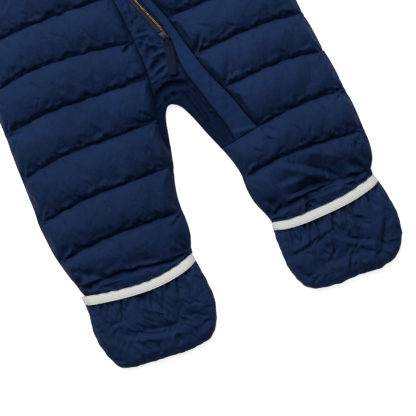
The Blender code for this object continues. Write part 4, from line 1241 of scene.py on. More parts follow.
# ---------------------------------------------------------------- sleeves, cuffs, collar
class Sleeve:
    """One sleeve in its own terms: back from the cuff along it, and over from its top."""

    def __init__(self, side):
        turn = math.radians(SLEEVE_ANGLE)
        self.side = side
        self.along = (math.sin(turn), -math.cos(turn))
        self.across = (-math.cos(turn), -math.sin(turn))
        y = np.linspace(UNDERARM[1], SHOULDER[1], 61)
        gone = np.stack([armhole(y) - SHOULDER[0], y - SHOULDER[1]], axis=1)
        self.armhole_back = SLEEVE_LENGTH - gone @ np.array(self.along)
        self.armhole_over = gone @ np.array(self.across)
        self.underarm_back = float(self.armhole_back[0])
        self.underarm_over = float(self.armhole_over[0])

    def world(self, back, over):
        reach = SLEEVE_LENGTH - back
        x = SHOULDER[0] + reach * self.along[0] + over * self.across[0]
        y = SHOULDER[1] + reach * self.along[1] + over * self.across[1]
        return MIDDLE_X + self.side * x, y

    def far_edge(self, back):
        """The underarm seam, then the armhole."""
        free = mix(CUFF_WIDTH, self.underarm_over, back / self.underarm_back)
        hole = np.interp(back, self.armhole_back, self.armhole_over)
        return np.where(back <= self.underarm_back, free, hole)

    def near_edge(self, back):
        """The folded top edge, a little round."""
        return -7.0 * np.sin(math.pi * np.minimum(back / SLEEVE_LENGTH, 1.0)) ** 1.2

    def plan(self, cell):
        """x, y, back, share of the puff, distance to both sides, sewn, the rows that lie on a
        sewn line, and the number of each point's nearest line."""
        count = round(SLEEVE_BAFFLE / cell)
        rows = [0.0, SLEEVE_HEM / 3, SLEEVE_HEM * 2 / 3]
        while rows[-1] < SLEEVE_END - SLEEVE_BAFFLE / count:
            number = len(rows) - 3
            rows.append(SLEEVE_HEM + number * SLEEVE_BAFFLE / count)
        rows = np.array(rows + [SLEEVE_END])
        on_line = np.isclose((rows - SLEEVE_HEM) % SLEEVE_BAFFLE, 0.0, atol=0.01)
        on_line |= np.isclose((rows - SLEEVE_HEM) % SLEEVE_BAFFLE, SLEEVE_BAFFLE, atol=0.01)
        columns = np.linspace(0.0, 1.0, round(120.0 / cell) + 1)
        across, back = np.meshgrid(columns, rows)
        near, far = self.near_edge(back), self.far_edge(back)
        x, y = self.world(back, mix(near, far, across))
        share = ((back - SLEEVE_HEM) / SLEEVE_BAFFLE + 0.0005) % 1.0
        share = np.where(on_line[:, None], 0.0, share)
        share = np.where(back < SLEEVE_HEM, 0.05, share)
        line = np.floor((back - SLEEVE_HEM) / SLEEVE_BAFFLE + 0.0005) + (share > 0.5) + 1
        sewn = on_line[:, None] | (across == 0.0) | (across == 1.0) | (back == 0.0)
        sewn |= back == rows[-1]
        to_top, to_seam = across * (far - near), (1 - across) * (far - near)
        return x, y, back, share, to_top, to_seam, sewn, on_line, line


def quilt_sleeve(name, side, filling, upper):
    """The front or the back half of a sleeve, and the paths of its thread."""
    sleeve = Sleeve(side)
    x, y, back, share, to_top, to_seam, sewn, on_line, line = sleeve.plan(
        filling.cell * (1.15 if upper else 1.4))
    if upper:
        crown = SLEEVE_CROWN * (1 + 0.05 * np.sin(back / 17.0 + to_top / 29.0))
        high = mix(STITCH_THICK, crown, puff(share))
        far_high = np.where(back > sleeve.underarm_back, SEAM_THICK, EDGE_THICK)
        high = mix(EDGE_THICK, high, rounding(to_top, SIDE_ROUND))
        high = mix(far_high, high, rounding(to_seam, SIDE_ROUND))
        z = FRONT_FLOOR + high + 0.4 * ripple(x, y, 13.0, 9) * np.where(sewn, 0.0, 1.0)
    else:
        z = underside(share, (to_top, to_seam, back, SLEEVE_END - back))
    gap = thread_gap(share, 1)[0]
    obj = cloth_from(name, [(x, y, z, sewn, near_thread(gap), to_top, gap, line)], up=upper)
    swell_quilt(obj, filling, SLEEVE_SWELL if upper else BACK_SWELL, HIDDEN_LESS)
    if not upper:
        keep_level(obj, 0.02)
    refine(obj)
    pucker(obj, 100 + side, filling.pucker * (1.0 if upper else 0.7))
    if not upper:
        keep_level(obj, 0.0)
    close_at(obj, FRONT_FLOOR + 0.1 if upper else BACK_THICK - 0.1)
    lift = 0.0 if upper else -0.5
    paths = [np.stack([x[i], y[i], z[i] + lift], axis=1) for i in np.nonzero(on_line)[0]]
    return obj, paths


def flat_loop(half_width, low, high, count):
    """Points (across, z) round a flattened tube, evenly spaced from the middle of its top."""
    radius = (high - low) / 2
    straight = half_width - radius
    whole = 4 * straight + 2 * math.pi * radius
    gone = np.linspace(0.0, whole, count, endpoint=False)
    across, level = [], []
    for step in gone:
        if step < straight:
            across.append(step)
            level.append(high)
        elif step < straight + math.pi * radius:
            angle = (step - straight) / radius
            across.append(straight + radius * math.sin(angle))
            level.append(low + radius * (1 + math.cos(angle)))
        elif step < 3 * straight + math.pi * radius:
            across.append(straight - (step - straight - math.pi * radius))
            level.append(low)
        elif step < 3 * straight + 2 * math.pi * radius:
            angle = (step - 3 * straight - math.pi * radius) / radius
            across.append(-straight - radius * math.sin(angle))
            level.append(low + radius * (1 - math.cos(angle)))
        else:
            across.append(step - whole)
            level.append(high)
    return np.array(across), np.array(level)


def gathered_cuff(name, side):
    """An elastic binding gathered into small ribs that run along the sleeve."""
    sleeve = Sleeve(side)
    low, high = CUFF_LEVELS
    half = CUFF_WALL / 2
    ribs = 56
    across, level = flat_loop(CUFF_GATHERED / 2 + half, low - half, high + half, ribs * 6)
    centre = (low + high) / 2
    along = np.linspace(0.0, CUFF_LENGTH, 15)
    number = np.arange(len(across))
    wave = np.sin(number / 6 * 2 * math.pi + 0.6 * np.sin(number / 23.0))
    bm = bmesh.new()
    rows = []
    for step in along:
        share = step / CUFF_LENGTH
        fade = math.sin(math.pi * share) ** 0.5
        two = 0.35 * abs(math.cos(2 * math.pi * share))
        depth = (0.85 + 0.2 * np.sin(number / 11.0)) * wave * fade * (1 - two) - 0.7
        out = 1 + depth / half * 0.12
        flat = centre + (level - centre) * (1 + depth / (high - centre + half))
        x, y = sleeve.world(-SEAM_GAP * 2 - step, CUFF_WIDTH / 2 + across * out)
        rows.append((x, y, np.maximum(flat, 0.1)))
    x, y, z = (np.array([row[i] for row in rows]) for i in range(3))
    closed = [np.concatenate([grid, grid[:, :1]], axis=1) for grid in (x, y, z)]
    grid_into(bm, *closed)
    bmesh.ops.remove_doubles(bm, verts=bm.verts, dist=0.00002)
    bmesh.ops.recalc_face_normals(bm, faces=bm.faces)
    middle = Vector(place(*sleeve.world(-CUFF_LENGTH / 2, CUFF_WIDTH / 2), centre))
    if sum((face.calc_center_median() - middle).dot(face.normal) for face in bm.faces) < 0:
        bmesh.ops.reverse_faces(bm, faces=bm.faces)
    return object_from(name, bm)


def collar_stations(spacing):
    """Points (across, z, share at the back) round the collar from one front edge to the other."""
    low, high = COLLAR_LEVELS
    radius = (high - low) / 2
    straight = COLLAR_HALF - radius
    right_front = float(right_seam(COLLAR_FOOT)) - SEAM_GAP - MIDDLE_X
    left_front = float(flap_seam(COLLAR_FOOT)) + SEAM_GAP - MIDDLE_X

    def flat(start, end, level, at_back):
        count = round(abs(start - end) / spacing)
        return [(x, level, at_back) for x in np.linspace(start, end, count)]

    def fold(side, start, end):
        return [(side * (straight + radius * math.sin(turn)),
                 low + radius * (1 + math.cos(turn)), turn / math.pi)
                for turn in np.linspace(start, end, 8)[1:-1]]

    return np.array(flat(right_front, -straight, high, 0.0) + fold(-1, 0.0, math.pi) +
                    flat(-straight, straight, low, 1.0) + fold(1, math.pi, 0.0) +
                    flat(straight, left_front, high, 0.0))


def quilt_collar(name, filling):
    """The stand collar: a padded strip with one sewn line round its middle."""
    stations = collar_stations(filling.cell)
    rows = np.linspace(0.0, 1.0, 17)
    share, number = np.meshgrid(rows, np.arange(len(stations)), indexing="ij")
    across, level, at_back = (stations[number, i] for i in range(3))
    x = MIDDLE_X + across
    inner = np.minimum(np.abs(across), NECK_SIDE[0] - 0.5)
    foot = mix(top_y(MIDDLE_X + inner, NECK_DROP_FRONT), top_y(MIDDLE_X + inner, NECK_DROP_BACK),
               at_back) + 5 * SEAM_GAP
    head = mix(front_top(x), COLLAR_END - 0.0008 * across ** 2, at_back)
    half = puff(share * 2 % 1.0)
    bulge = 2.0 * half * np.clip(1 - at_back * 2, 0.0, 1.0)
    sewn = (share == 0.0) | (share == 0.5) | (share == 1.0)
    sewn |= (number == 0) | (number == len(stations) - 1)
    obj = cloth_from(name, [(x, mix(foot, head, share), level + bulge, sewn)])
    thick = obj.modifiers.new("Wall", "SOLIDIFY")
    thick.thickness = (COLLAR_WALL - 1.4) * MM
    thick.offset = 0.0
    thick.use_even_offset = True
    evaluated(obj)
    swell_quilt(obj, filling, COLLAR_SWELL, HIDDEN_LESS)
    refine(obj)
    keep_level(obj, 0.05, 40.0)
    return obj


# ---------------------------------------------------------------- crotch and front opening
knee_line = smooth_curve(LEFT_PLACES[::-1], LEFT_LINES[1][::-1])


def above_knee(x, y):
    """Keep the flap and the gusset above the sewn line that they end on."""
    return np.maximum(y, knee_line(x) + 2 * SEAM_GAP)


def placket_foot(x):
    """The placket's lower edge, where it meets the gusset."""
    return 29.4 - 0.0028 * (x - 4.0) ** 2


def front_top(x):
    """The upper edge of the placket and the flap, which is also the collar's in front."""
    return 434.0 + 0.0028 * (x - MIDDLE_X) ** 2


def gusset_arrays(cell):
    """The gusset, from the right leg round the crotch to the knee of the left."""
    knots = np.linspace(0.0, 1.0, len(GUSSET_SECTIONS))
    curves = [smooth_curve(knots, [row[i] for row in GUSSET_SECTIONS]) for i in range(4)]
    across, along = np.meshgrid(np.linspace(0.0, 1.0, round(40 / cell)),
                                np.linspace(0.0, 1.0, round(230 / cell)))
    x0, y0, x1, y1 = (curve(along) for curve in curves)
    x1 = np.minimum(np.maximum(x1, right_seam(y1) + 3 * SEAM_GAP), flap_seam(y1) - SEAM_GAP)
    y1 = mix(y1, placket_foot(x1) - 0.15, ease((y1 - 14.0) / 10.0))
    x, y = mix(x0, x1, across), mix(y0, y1, across)
    y = above_knee(x, y)
    width = np.hypot(x1 - x0, y1 - y0)
    under_flap = ease((x - flap_edge(y) + 3.0) / 3.0)
    high = mix(WRINKLED_THICK, FLAP_FLOOR - FRONT_FLOOR - SEAM_GAP, under_flap)
    high = high + (1 - under_flap) * 0.5 * ripple(x, y, 9.0, 21)
    high = high - 0.5 * (1 - under_flap) * crease_depth(GUSSET_CREASES, x, y)
    high = mix(EDGE_THICK, high, mix(rounding(across * width, 9.0), sloping(across * width, 15.0),
                                     ease((y + 34.0) / 26.0)))
    high = high - 1.6 * (1 - under_flap) * np.exp(-((1 - across) * width / 1.5) ** 2)
    high = high - 2.0 * np.exp(-((x - flap_edge(y) + 1.2) / 1.6) ** 2)
    high = np.clip(high, 0.8, 7.6)
    sewn = (across == 0.0) | (across == 1.0) | (along == 0.0) | (along == 1.0)
    sewn |= under_flap > 0.3
    return x, y, FRONT_FLOOR + high, sewn


def placket_arrays(cell):
    """The facing between the right front and the zip, wrinkled where it shows."""
    low, high = placket_foot(4.0), front_top(4.0)
    rows = np.concatenate([
        np.linspace(low, SHOWN_TO, round((SHOWN_TO - low) / cell))[:-1],
        np.linspace(SHOWN_TO, high, round((high - SHOWN_TO) / cell / 3.2))])
    across, row = np.meshgrid(np.linspace(0.0, 1.0, round(44 / cell)), rows)
    up = (row - low) / (high - low)
    y = row
    for _ in range(5):
        x = mix(right_seam(y) + SEAM_GAP, flap_seam(y) - SEAM_GAP, across)
        y = mix(placket_foot(x), front_top(x), up)
    under_tape = ease((x - tape_edge(y) + 4.0) / 4.0)
    lower = ease((72.0 - y) / 8.0)
    thin = mix(FACING_THICK, FLAP_FLOOR - FRONT_FLOOR - 2 * SEAM_GAP, lower)
    shown = mix(WRINKLED_THICK + 0.2, FACING_THICK + 1.4, ease((y - 150.0) / 60.0))
    shown = shown + 0.45 * ripple(x, y, 8.0, 33) - 0.5 * crease_depth(PLACKET_CREASES, x, y)
    high = np.clip(mix(shown, thin, under_tape), 1.2, 7.8)
    edge = rounding(across * 40.0 + 0.4, 3.0)
    high = mix(2.2, high, edge)
    high = high - 1.6 * (1 - under_tape) * np.exp(-((y - placket_foot(x)) / 1.5) ** 2)
    high = high - 2.6 * lower * np.exp(-((x - flap_edge(y) + 1.4) / 2.0) ** 2)
    sewn = (across == 0.0) | (across == 1.0) | (row == rows[0]) | (row == rows[-1])
    sewn |= (under_tape > 0.3) & ((y > 70.0) | (x > flap_edge(y) - 2.0))
    return x, y, FRONT_FLOOR + high, sewn


def flap_arrays(cell):
    """The storm flap, smooth, softly crowned, with a sewn lip along its free edge."""
    start = LEFT_LINES[1][3] + 2 * SEAM_GAP
    rows = np.concatenate([
        np.linspace(start, SHOWN_TO, round((SHOWN_TO - start) / cell))[:-1],
        np.linspace(SHOWN_TO, front_top(4.0), round(300.0 / cell / 1.8))])
    across, y = np.meshgrid(np.linspace(0.0, 1.0, 17), rows)
    left, right = flap_edge(y), flap_seam(y) - 2 * SEAM_GAP
    x = mix(left, right, across)
    swell_up = (1.5 + 0.5 * np.sin(y / 11.0)) * np.sin(math.pi * across)
    lip = 0.8 * rounding(across * (right - left), 2.0)
    groove = 0.5 * np.exp(-((across * (right - left) - 2.6) / 0.7) ** 2)
    z = FLAP_FLOOR + FLAP_THICK - 0.8 + lip + swell_up - groove
    y = above_knee(x, y)
    z = z - np.minimum(crease_depth(FLAP_CREASES, x, y), 1.8) + 0.25 * ripple(x, y, 12.0, 41)
    z = z - 1.6 * ease(1 - (y - knee_line(x)) / 5.0)
    sewn = (across == 0.0) | (across == 1.0) | (y == y[0]) | (y == y[-1])
    return x, y, np.maximum(z, FLAP_FLOOR + 1.4), sewn


# ---------------------------------------------------------------- foot covers
class Foot:
    """One foot cover's outline, worked from its tape, sides and toe. Left and right are as
    seen from above."""

    def __init__(self, toe, sides, band, creases, seed):
        self.toe_x, self.toe_y = column(toe, 1), column(toe, 2)
        self.left_x, self.right_x = column(sides, 1), column(sides, 2)
        self.band = band
        self.creases = creases
        self.seed = seed

    def plan(self, across, down):
        """A patch between the tape at down = 0 and the toe's seam at down = 1."""
        start_x = mix(self.left_x(0.0), self.right_x(0.0), across)
        start_y = self.band(start_x) - 0.1
        flat_left = mix(self.left_x(0.0), self.toe_x(0.0), down)
        flat_right = mix(self.right_x(0.0), self.toe_x(1.0), down)
        bulge = mix(self.left_x(down) - flat_left, self.right_x(down) - flat_right, across)
        x = mix(start_x, self.toe_x(across), down) + bulge
        y = mix(start_y, self.toe_y(across), down)
        wave = 0.45 * ripple(x, y, 9.0, self.seed + 3) * ease((down - 0.16) / 0.1)
        outwards = ease((across - 0.94) / 0.06) - ease((0.06 - across) / 0.06)
        return x + wave * outwards, y - wave * ease((down - 0.93) / 0.07)

    def grid(self, cell):
        """x and y of a cover's points, with finer rows under the tape."""
        tape = BAND_WIDTH / COVER_LENGTH
        rows = np.concatenate([np.linspace(0.0, tape, 7)[:-1],
                               np.linspace(tape, 1.0, round((1 - tape) * COVER_LENGTH / cell))])
        across, down = np.meshgrid(np.linspace(0.0, 1.0, round(136.0 / cell)), rows)
        x, y = self.plan(across, down)
        return x, y, across, down

    def rims(self, across, down):
        """The distances to both sides and to the toe."""
        width = self.right_x(down) - self.left_x(down)
        return across * width, (1 - across) * width, (1 - down) * COVER_LENGTH

    def below_tape(self, x, y):
        """The distance down from the tape's upper edge, and the cover's height there."""
        below = self.band(x) - 0.1 - y
        return below, 7.6 + 2.0 * ease(below / 9.0) + 2.4 * ease(below / 30.0)

    def cover(self, cell):
        """The cover's upper side, gathered below the tape and round the toe's seam."""
        x, y, across, down = self.grid(cell)
        left, right, toe = self.rims(across, down)
        below, high = self.below_tape(x, y)
        high = high - 1.6 * ease((below - 45.0) / 30.0)
        uneven = 3.0 * ripple(x, y * 0.2, 30.0, self.seed)
        high = high - 0.5 * crease_depth(self.creases, x, y) * ease((below - BAND_WIDTH) / 2.0)
        high = high + 0.4 * ripple(x, y, 14.0, self.seed + 1)
        rim = np.minimum(np.minimum(left, right), toe)
        seam = 0.9 * np.exp(-((rim - 3.6) / 1.0) ** 2) * ease((below - 12.0) / 6.0)
        around = np.where(toe < 12.0, x, y)
        frill = 0.7 * np.sin(2 * math.pi * (around + uneven) / 6.5) * np.exp(-(rim / 7.0) ** 2)
        high = high - seam + frill * ease((below - 14.0) / 8.0)
        for distance in (left, right, toe):
            high = mix(EDGE_THICK, high, sloping(distance, SIDE_ROUND - 3.0))
        sewn = (below <= BAND_WIDTH + 0.3) | (rim < 0.01)
        return (x, y, FRONT_FLOOR + np.maximum(high, 1.0), sewn, 1.0, 0.0,
                np.maximum(below - BAND_WIDTH, 0.0))

    def sole(self, cell):
        """The cover's underside."""
        x, y, across, down = self.grid(cell)
        low = underside(0.5, self.rims(across, down) + (down * COVER_LENGTH,))
        low = low + 0.5 * (1 + ripple(x, y, 16.0, self.seed + 2)) * ease(low / 1.0)
        sewn = (across == 0.0) | (across == 1.0) | (down == 0.0) | (down == 1.0)
        return x, y, low, sewn

    def tape(self):
        """The pale tape, just above the cover's upper side."""
        across, down = np.meshgrid(np.linspace(0.0, 1.0, 120),
                                   np.linspace(0.0, BAND_WIDTH / COVER_LENGTH, 9))
        x, y = self.plan(across, down)
        below, high = self.below_tape(x, y)
        high = high - 0.7 * np.exp(-(below / 0.9) ** 2)
        for distance in self.rims(across, down)[:2]:
            high = mix(EDGE_THICK, high, sloping(distance, SIDE_ROUND - 3.0))
        dip = 0.35 * np.exp(-((below - 1.2) / 0.5) ** 2)
        dip = dip + 0.35 * np.exp(-((below - BAND_WIDTH + 1.2) / 0.5) ** 2)
        return x, y, FRONT_FLOOR + high + SEAM_GAP + 1.0 - dip, below


def gathered_foot(toe, sides, band, creases, gathered, scattered, lean, seed):
    """A foot cover with its table's creases, gathers under the tape and small creases."""
    creases = creases + gathers(lambda x: band(x) - BAND_WIDTH, *gathered, seed + 1)
    creases = creases + wrinkles(60, *scattered, lean, 50.0, seed + 2, 1.3, 1.9)
    return Foot(toe, sides, band, creases, seed)


RIGHT_FOOT = gathered_foot(RIGHT_TOE, RIGHT_SIDES, right_band, RIGHT_FOOT_CREASES,
                           (-172.0, -54.0), (-176.0, -52.0, -244.0, -180.0), 100.0, 51)
LEFT_FOOT = gathered_foot(LEFT_TOE, LEFT_SIDES, left_band, LEFT_FOOT_CREASES,
                          (48.0, 168.0), (46.0, 170.0, -250.0, -186.0), 80.0, 61)


def make_tape(name, foot):
    """A foot cover's pale tape, and the paths of its two rows of stitches."""
    x, y, z, below = foot.tape()
    bm = sewn_bmesh()
    mark_cloth(bm, grid_into(bm, x, y, z), np.zeros(x.shape), 1.0, below)
    turn_faces(bm)
    obj = object_from(name, bm)
    paths = []
    for edge in (1.2, BAND_WIDTH - 1.2):
        row = int(np.argmin(np.abs(below[:, 60] - edge)))
        paths.append(np.stack([x[row], y[row], z[row]], axis=1))
    return obj, paths


# ---------------------------------------------------------------- zip, slider and pull
def turned(x, y, centre, degrees):
    """A point turned about a centre in the plane."""
    turn = math.radians(degrees)
    return (centre[0] + x * math.cos(turn) - y * math.sin(turn),
            centre[1] + x * math.sin(turn) + y * math.cos(turn))


def bevelled(bm, width, segments=2):
    """Round every edge."""
    bmesh.ops.bevel(bm, geom=bm.edges[:], offset=width * MM, affect="EDGES", segments=segments,
                    profile=0.5, material=-1)


def add_block(bm, centre, size, degrees):
    """A block turned in the plane."""
    made = bmesh.ops.create_cube(bm, size=1.0)["verts"]
    for vert in made:
        x, y = turned(vert.co.x * size[0], vert.co.y * size[1], centre, degrees)
        vert.co = place(x, y, centre[2] + vert.co.z * size[2])
    return made


def make_teeth(name):
    """One side's row of separate zip teeth along the tape's edge."""
    tooth, bm = bmesh.new(), bmesh.new()
    bmesh.ops.create_cube(tooth, size=1.0)
    long, wide, high = TOOTH_SIZE
    for vert in tooth.verts:
        slim = 0.62 if vert.co.x > 0 else 1.0
        vert.co = Vector((vert.co.x * long, vert.co.y * wide * slim, vert.co.z * high)) * MM
    bevelled(tooth, 0.22, 1)
    template = mesh_from("tooth", tooth)
    level = FRONT_FLOOR + FACING_THICK + SEAM_GAP + TOOTH_UP
    y = ZIP_ENDS[0] + 0.8
    while y < ZIP_ENDS[1]:
        slope = (float(teeth_edge(y + 0.5)) - float(teeth_edge(y - 0.5)))
        spot = Vector(place(float(teeth_edge(y)) - TOOTH_IN, y, level))
        stamp(bm, template,
              Matrix.Translation(spot) @ Matrix.Rotation(-math.atan(slope), 4, "Z"))
        y += TOOTH_PITCH
    bpy.data.meshes.remove(template)
    return object_from(name, bm)


def round_bar(bm, radius, length, count=20):
    """A round bar along the pull's pin."""
    made = bmesh.ops.create_cone(bm, cap_ends=True, segments=count, radius1=radius,
                                 radius2=radius, depth=length)["verts"]
    for vert in made:
        x, y = turned(vert.co.z, vert.co.x, PULL_PIN, -PULL_TURN)
        vert.co = place(x, y, PULL_PIN[2] + vert.co.y)
    return made


def make_slider(name):
    """The slider's two plates, its shoulders, and a bridge that carries the pull's pin."""
    bm = bmesh.new()
    width, length, thick = SLIDER_SIZE
    middle = SLIDER_FLOOR + thick / 2
    for level in (middle - thick / 2 + 0.5, middle + thick / 2 - 0.5):
        plate = add_block(bm, (*SLIDER_AT, level), (width, length, 1.0), SLIDER_TURN)
        for vert in plate:
            centre_x, centre_y, _ = place(*SLIDER_AT, 0.0)
            if vert.co.y < centre_y:
                vert.co.x = centre_x + (vert.co.x - centre_x) * 0.74
    for step in (-3.1, 3.1):
        x, y = turned(step * 0.92, 1.2, SLIDER_AT, SLIDER_TURN)
        add_block(bm, (x, y, middle), (1.0, length * 0.7, thick - 0.2), SLIDER_TURN)
    for step in (-EAR_AT, EAR_AT):
        x, y = turned(step, 0.0, PULL_PIN, -PULL_TURN)
        add_block(bm, (x, y, PULL_PIN[2] - 1.0), (1.1, 4.4, 4.2), -PULL_TURN)
    bevelled(bm, 0.28, 2)
    round_bar(bm, 0.6, 2 * EAR_AT + 0.6)
    return object_from(name, bm)


def make_pull(name):
    """A folded webbing tab, ribbed across, looped round the slider's pin and sewn."""
    bm = sewn_bmesh()
    along = np.concatenate([np.linspace(0.4, 5.0, 12)[:-1], np.linspace(5.0, PULL_LENGTH, 100)])
    across, down = np.meshgrid(np.linspace(-1.0, 1.0, 19), along)
    wide = mix(1.3, PULL_WIDTH / 2, ease((down - 1.6) / 5.0))
    wide = wide * (1 - 0.14 * ease((down - PULL_LENGTH + 2.0) / 2.0))
    slant = 2.2 * across * ease((down - PULL_LENGTH + 14.0) / 14.0)
    lean = 1.5 * np.sin(math.pi * down / PULL_LENGTH) - 0.4 * (down / PULL_LENGTH) ** 2
    reach = down * (1 + 0.08 * ease((down - 6.0) / 20.0))
    x, y = turned(across * wide + lean, -(reach + slant * 0.3), PULL_PIN, -PULL_TURN)
    drop = 2.0 * ease((down - 1.0) / 10.0) - 0.3 * ease((down - 28.0) / 10.0)
    edge = 0.5 * np.clip((np.abs(across) - 0.86) / 0.14, 0, 1) ** 2
    z = PULL_PIN[2] + PULL_THICK / 2 - drop + 0.3 * (1 - across ** 2) - edge
    mark_cloth(bm, grid_into(bm, x, y, z), np.zeros(x.shape), 1.0, down)
    turn_faces(bm)
    obj = object_from(name, bm)
    walled(obj, PULL_THICK - 0.1)
    bm = bmesh_of(obj)
    round_bar(bm, 1.7, 2.7, 24)
    keep_bmesh(obj, bm)
    paths = [np.stack([*turned(np.linspace(-3.4, 3.4, 9), np.full(9, -8.6), PULL_PIN,
                               -PULL_TURN), np.full(9, PULL_PIN[2] - 0.5)], axis=1)]
    return obj, paths


# ---------------------------------------------------------------- materials
NYLON_GLOSS = 0.004
NYLON_PITCH = 0.00055    # metres from thread to thread
YARN_PITCH = 0.0004


class Finish:
    """A material's shader and the small helpers that its nodes are made with."""

    def __init__(self, name):
        self.material = bpy.data.materials.new(name)
        self.material.use_nodes = True
        self.tree = self.material.node_tree
        self.shader = self.tree.nodes["Principled BSDF"]
        self.place = self.tree.nodes.new("ShaderNodeTexCoord").outputs["Object"]

    def node(self, kind, links=(), **values):
        made = self.tree.nodes.new(kind)
        for key, value in values.items():
            if hasattr(made, key):
                setattr(made, key, value)
            else:
                made.inputs[key.replace("_", " ").title()].default_value = value
        for key, source in links:
            self.tree.links.new(source, made.inputs[key])
        return made

    def noise(self, scale, detail=2.0, stretch=(1.0, 1.0, 1.0)):
        mapped = self.node("ShaderNodeMapping", [("Vector", self.place)], scale=stretch)
        return self.node("ShaderNodeTexNoise", [("Vector", mapped.outputs[0])], scale=scale,
                         detail=detail).outputs["Fac"]

    def weave(self, pitch, axis):
        """Threads side by side along one axis, pitch apart in metres."""
        return self.node("ShaderNodeTexWave", [("Vector", self.place)], bands_direction=axis,
                         scale=math.pi / 10.0 / pitch, distortion=0.4).outputs["Fac"]

    def bump(self, height, distance, strength, under=None):
        links = [("Height", height)] + ([("Normal", under)] if under else [])
        made = self.node("ShaderNodeBump", links)
        made.inputs["Strength"].default_value = strength
        made.inputs["Distance"].default_value = distance
        return made.outputs["Normal"]

    def between(self, factor, low, high):
        """A colour that goes from low to high as the factor does."""
        ramp = self.node("ShaderNodeValToRGB", [("Fac", factor)])
        ramp.color_ramp.elements[0].color = (*low, 1.0)
        ramp.color_ramp.elements[0].position = 0.3
        ramp.color_ramp.elements[1].color = (*high, 1.0)
        ramp.color_ramp.elements[1].position = 0.7
        return ramp.outputs["Color"]

    def set(self, **values):
        for key, value in values.items():
            socket = self.shader.inputs[key.replace("_", " ").title().replace("Ior", "IOR")]
            if isinstance(value, bpy.types.NodeSocket):
                self.tree.links.new(value, socket)
            else:
                socket.default_value = value
        return self.material


def shaded(colour, factor):
    """A colour made darker or lighter."""
    return tuple(channel * factor for channel in colour)


def nylon(name, colour, crumple):
    """Smooth, tightly woven nylon with a soft sheen and small crumples."""
    done = Finish(name)
    tone = done.between(done.noise(14.0, 3.0), shaded(colour, 0.84), shaded(colour, 1.16))
    normal = done.bump(done.noise(95.0, 2.0, (1.0, 1.6, 1.0)), 0.0012, crumple)
    normal = done.bump(done.noise(190.0, 3.0, (1.5, 0.5, 1.0)), 0.003, crumple, normal)
    normal = done.bump(done.noise(310.0, 2.0), 0.0006, 0.55, normal)
    for axis in ("X", "Y"):
        normal = done.bump(done.weave(NYLON_PITCH, axis), 0.00005, 0.35, normal)
    return done.set(base_color=tone, roughness=0.42, specular_ior_level=NYLON_GLOSS,
                    sheen_weight=0.02, sheen_roughness=0.4, sheen_tint=(0.4, 0.6, 1.0, 1.0),
                    normal=normal)


def woven(name, colour, pitch):
    """Woven tape with ribs across its length."""
    done = Finish(name)
    tone = done.between(done.noise(60.0, 3.0), shaded(colour, 0.9), shaded(colour, 1.08))
    normal = done.bump(done.weave(pitch, "Y"), 0.00012, 0.8)
    normal = done.bump(done.weave(pitch * 0.6, "X"), 0.00006, 0.5, normal)
    normal = done.bump(done.noise(900.0, 2.0), 0.00008, 0.4, normal)
    return done.set(base_color=tone, roughness=0.8, specular_ior_level=0.25,
                    sheen_weight=0.15, sheen_roughness=0.5, normal=normal)


def webbing(name, colour, pitch, deep=0.85, roughness=0.7, gloss=0.06):
    """Webbing with ribs, pitch mm apart along the measure kept in its cloth. Its colour is darker
    in the grooves between the ribs, by deep, and lighter on their tops, by 2 - deep: painted shade
    and painted highlight that follow the ribs.
    """
    done = Finish(name)
    along = done.node("ShaderNodeAttribute", attribute_name="along").outputs["Fac"]
    turn = done.node("ShaderNodeMath", [(0, along)], operation="MULTIPLY")
    turn.inputs[1].default_value = 2 * math.pi / pitch
    rib = done.node("ShaderNodeMath", [(0, turn.outputs[0])], operation="SINE").outputs[0]
    level = done.node("ShaderNodeMath", [(0, rib)], operation="MULTIPLY_ADD")
    level.inputs[1].default_value = 0.3
    level.inputs[2].default_value = 0.5
    # Painted shade in the grooves and painted highlight on the rib tops, following the same sine
    # as the ribs' bump.
    tone = done.between(level.outputs[0], shaded(colour, deep), shaded(colour, 2.0 - deep))
    normal = done.bump(rib, 0.00012, 0.5)
    normal = done.bump(done.noise(1400.0, 2.0), 0.00008, 0.5, normal)
    return done.set(base_color=tone, roughness=roughness, specular_ior_level=gloss,
                    sheen_weight=0.03, sheen_roughness=0.5, normal=normal)


def metal(name, colour, dull, roughness):
    """Dulled metal, darker in patches, with fine scratches."""
    done = Finish(name)
    tone = done.between(done.noise(420.0, 4.0), dull, colour)
    rough = done.node("ShaderNodeMapRange", [("Value", done.noise(700.0, 3.0))])
    rough.inputs["To Min"].default_value = roughness * 0.8
    rough.inputs["To Max"].default_value = roughness * 1.3
    normal = done.bump(done.noise(1500.0, 2.0, (1.0, 0.2, 1.0)), 0.00004, 0.5)
    return done.set(base_color=tone, metallic=1.0, roughness=rough.outputs["Result"],
                    normal=normal)


def thread(name, colour):
    """Twisted sewing thread."""
    done = Finish(name)
    tone = done.between(done.noise(900.0, 2.0), shaded(colour, 0.8), shaded(colour, 1.2))
    normal = done.bump(done.weave(YARN_PITCH, "DIAGONAL"), 0.00005, 0.6)
    return done.set(base_color=tone, roughness=0.55, specular_ior_level=0.3, normal=normal)


# ---------------------------------------------------------------- operators
SHOWN_MIDDLE = (-12.0, -120.5, 16.0)
FLOOR_GLOW = 0.80
LIGHT_SIZE = 1.4         # metres, as are its distances from the middle of the picture
LIGHT_UP = 0.85
LIGHT_LEFT = 0.45
LIGHT_HIGH = 0.95


def stitched(context, name, paths, pitch=3.2, length=2.3, width=0.5, lift=0.1, body="garment"):
    """Navy thread along paths, as a piece of its own."""
    yarn = thread(name + " yarn", context.scene.snowsuit_cloth.thread)
    dress(sew(name, paths, pitch, length, width, lift), yarn, body=body)


def quilt_piece(context, cloth, node, piece, paths, fill, lift=0.1):
    """Finish a quilted piece and sew its thread."""
    dress(piece, cloth, [node])
    stitched(context, node + "_thread", paths, lift=lift)


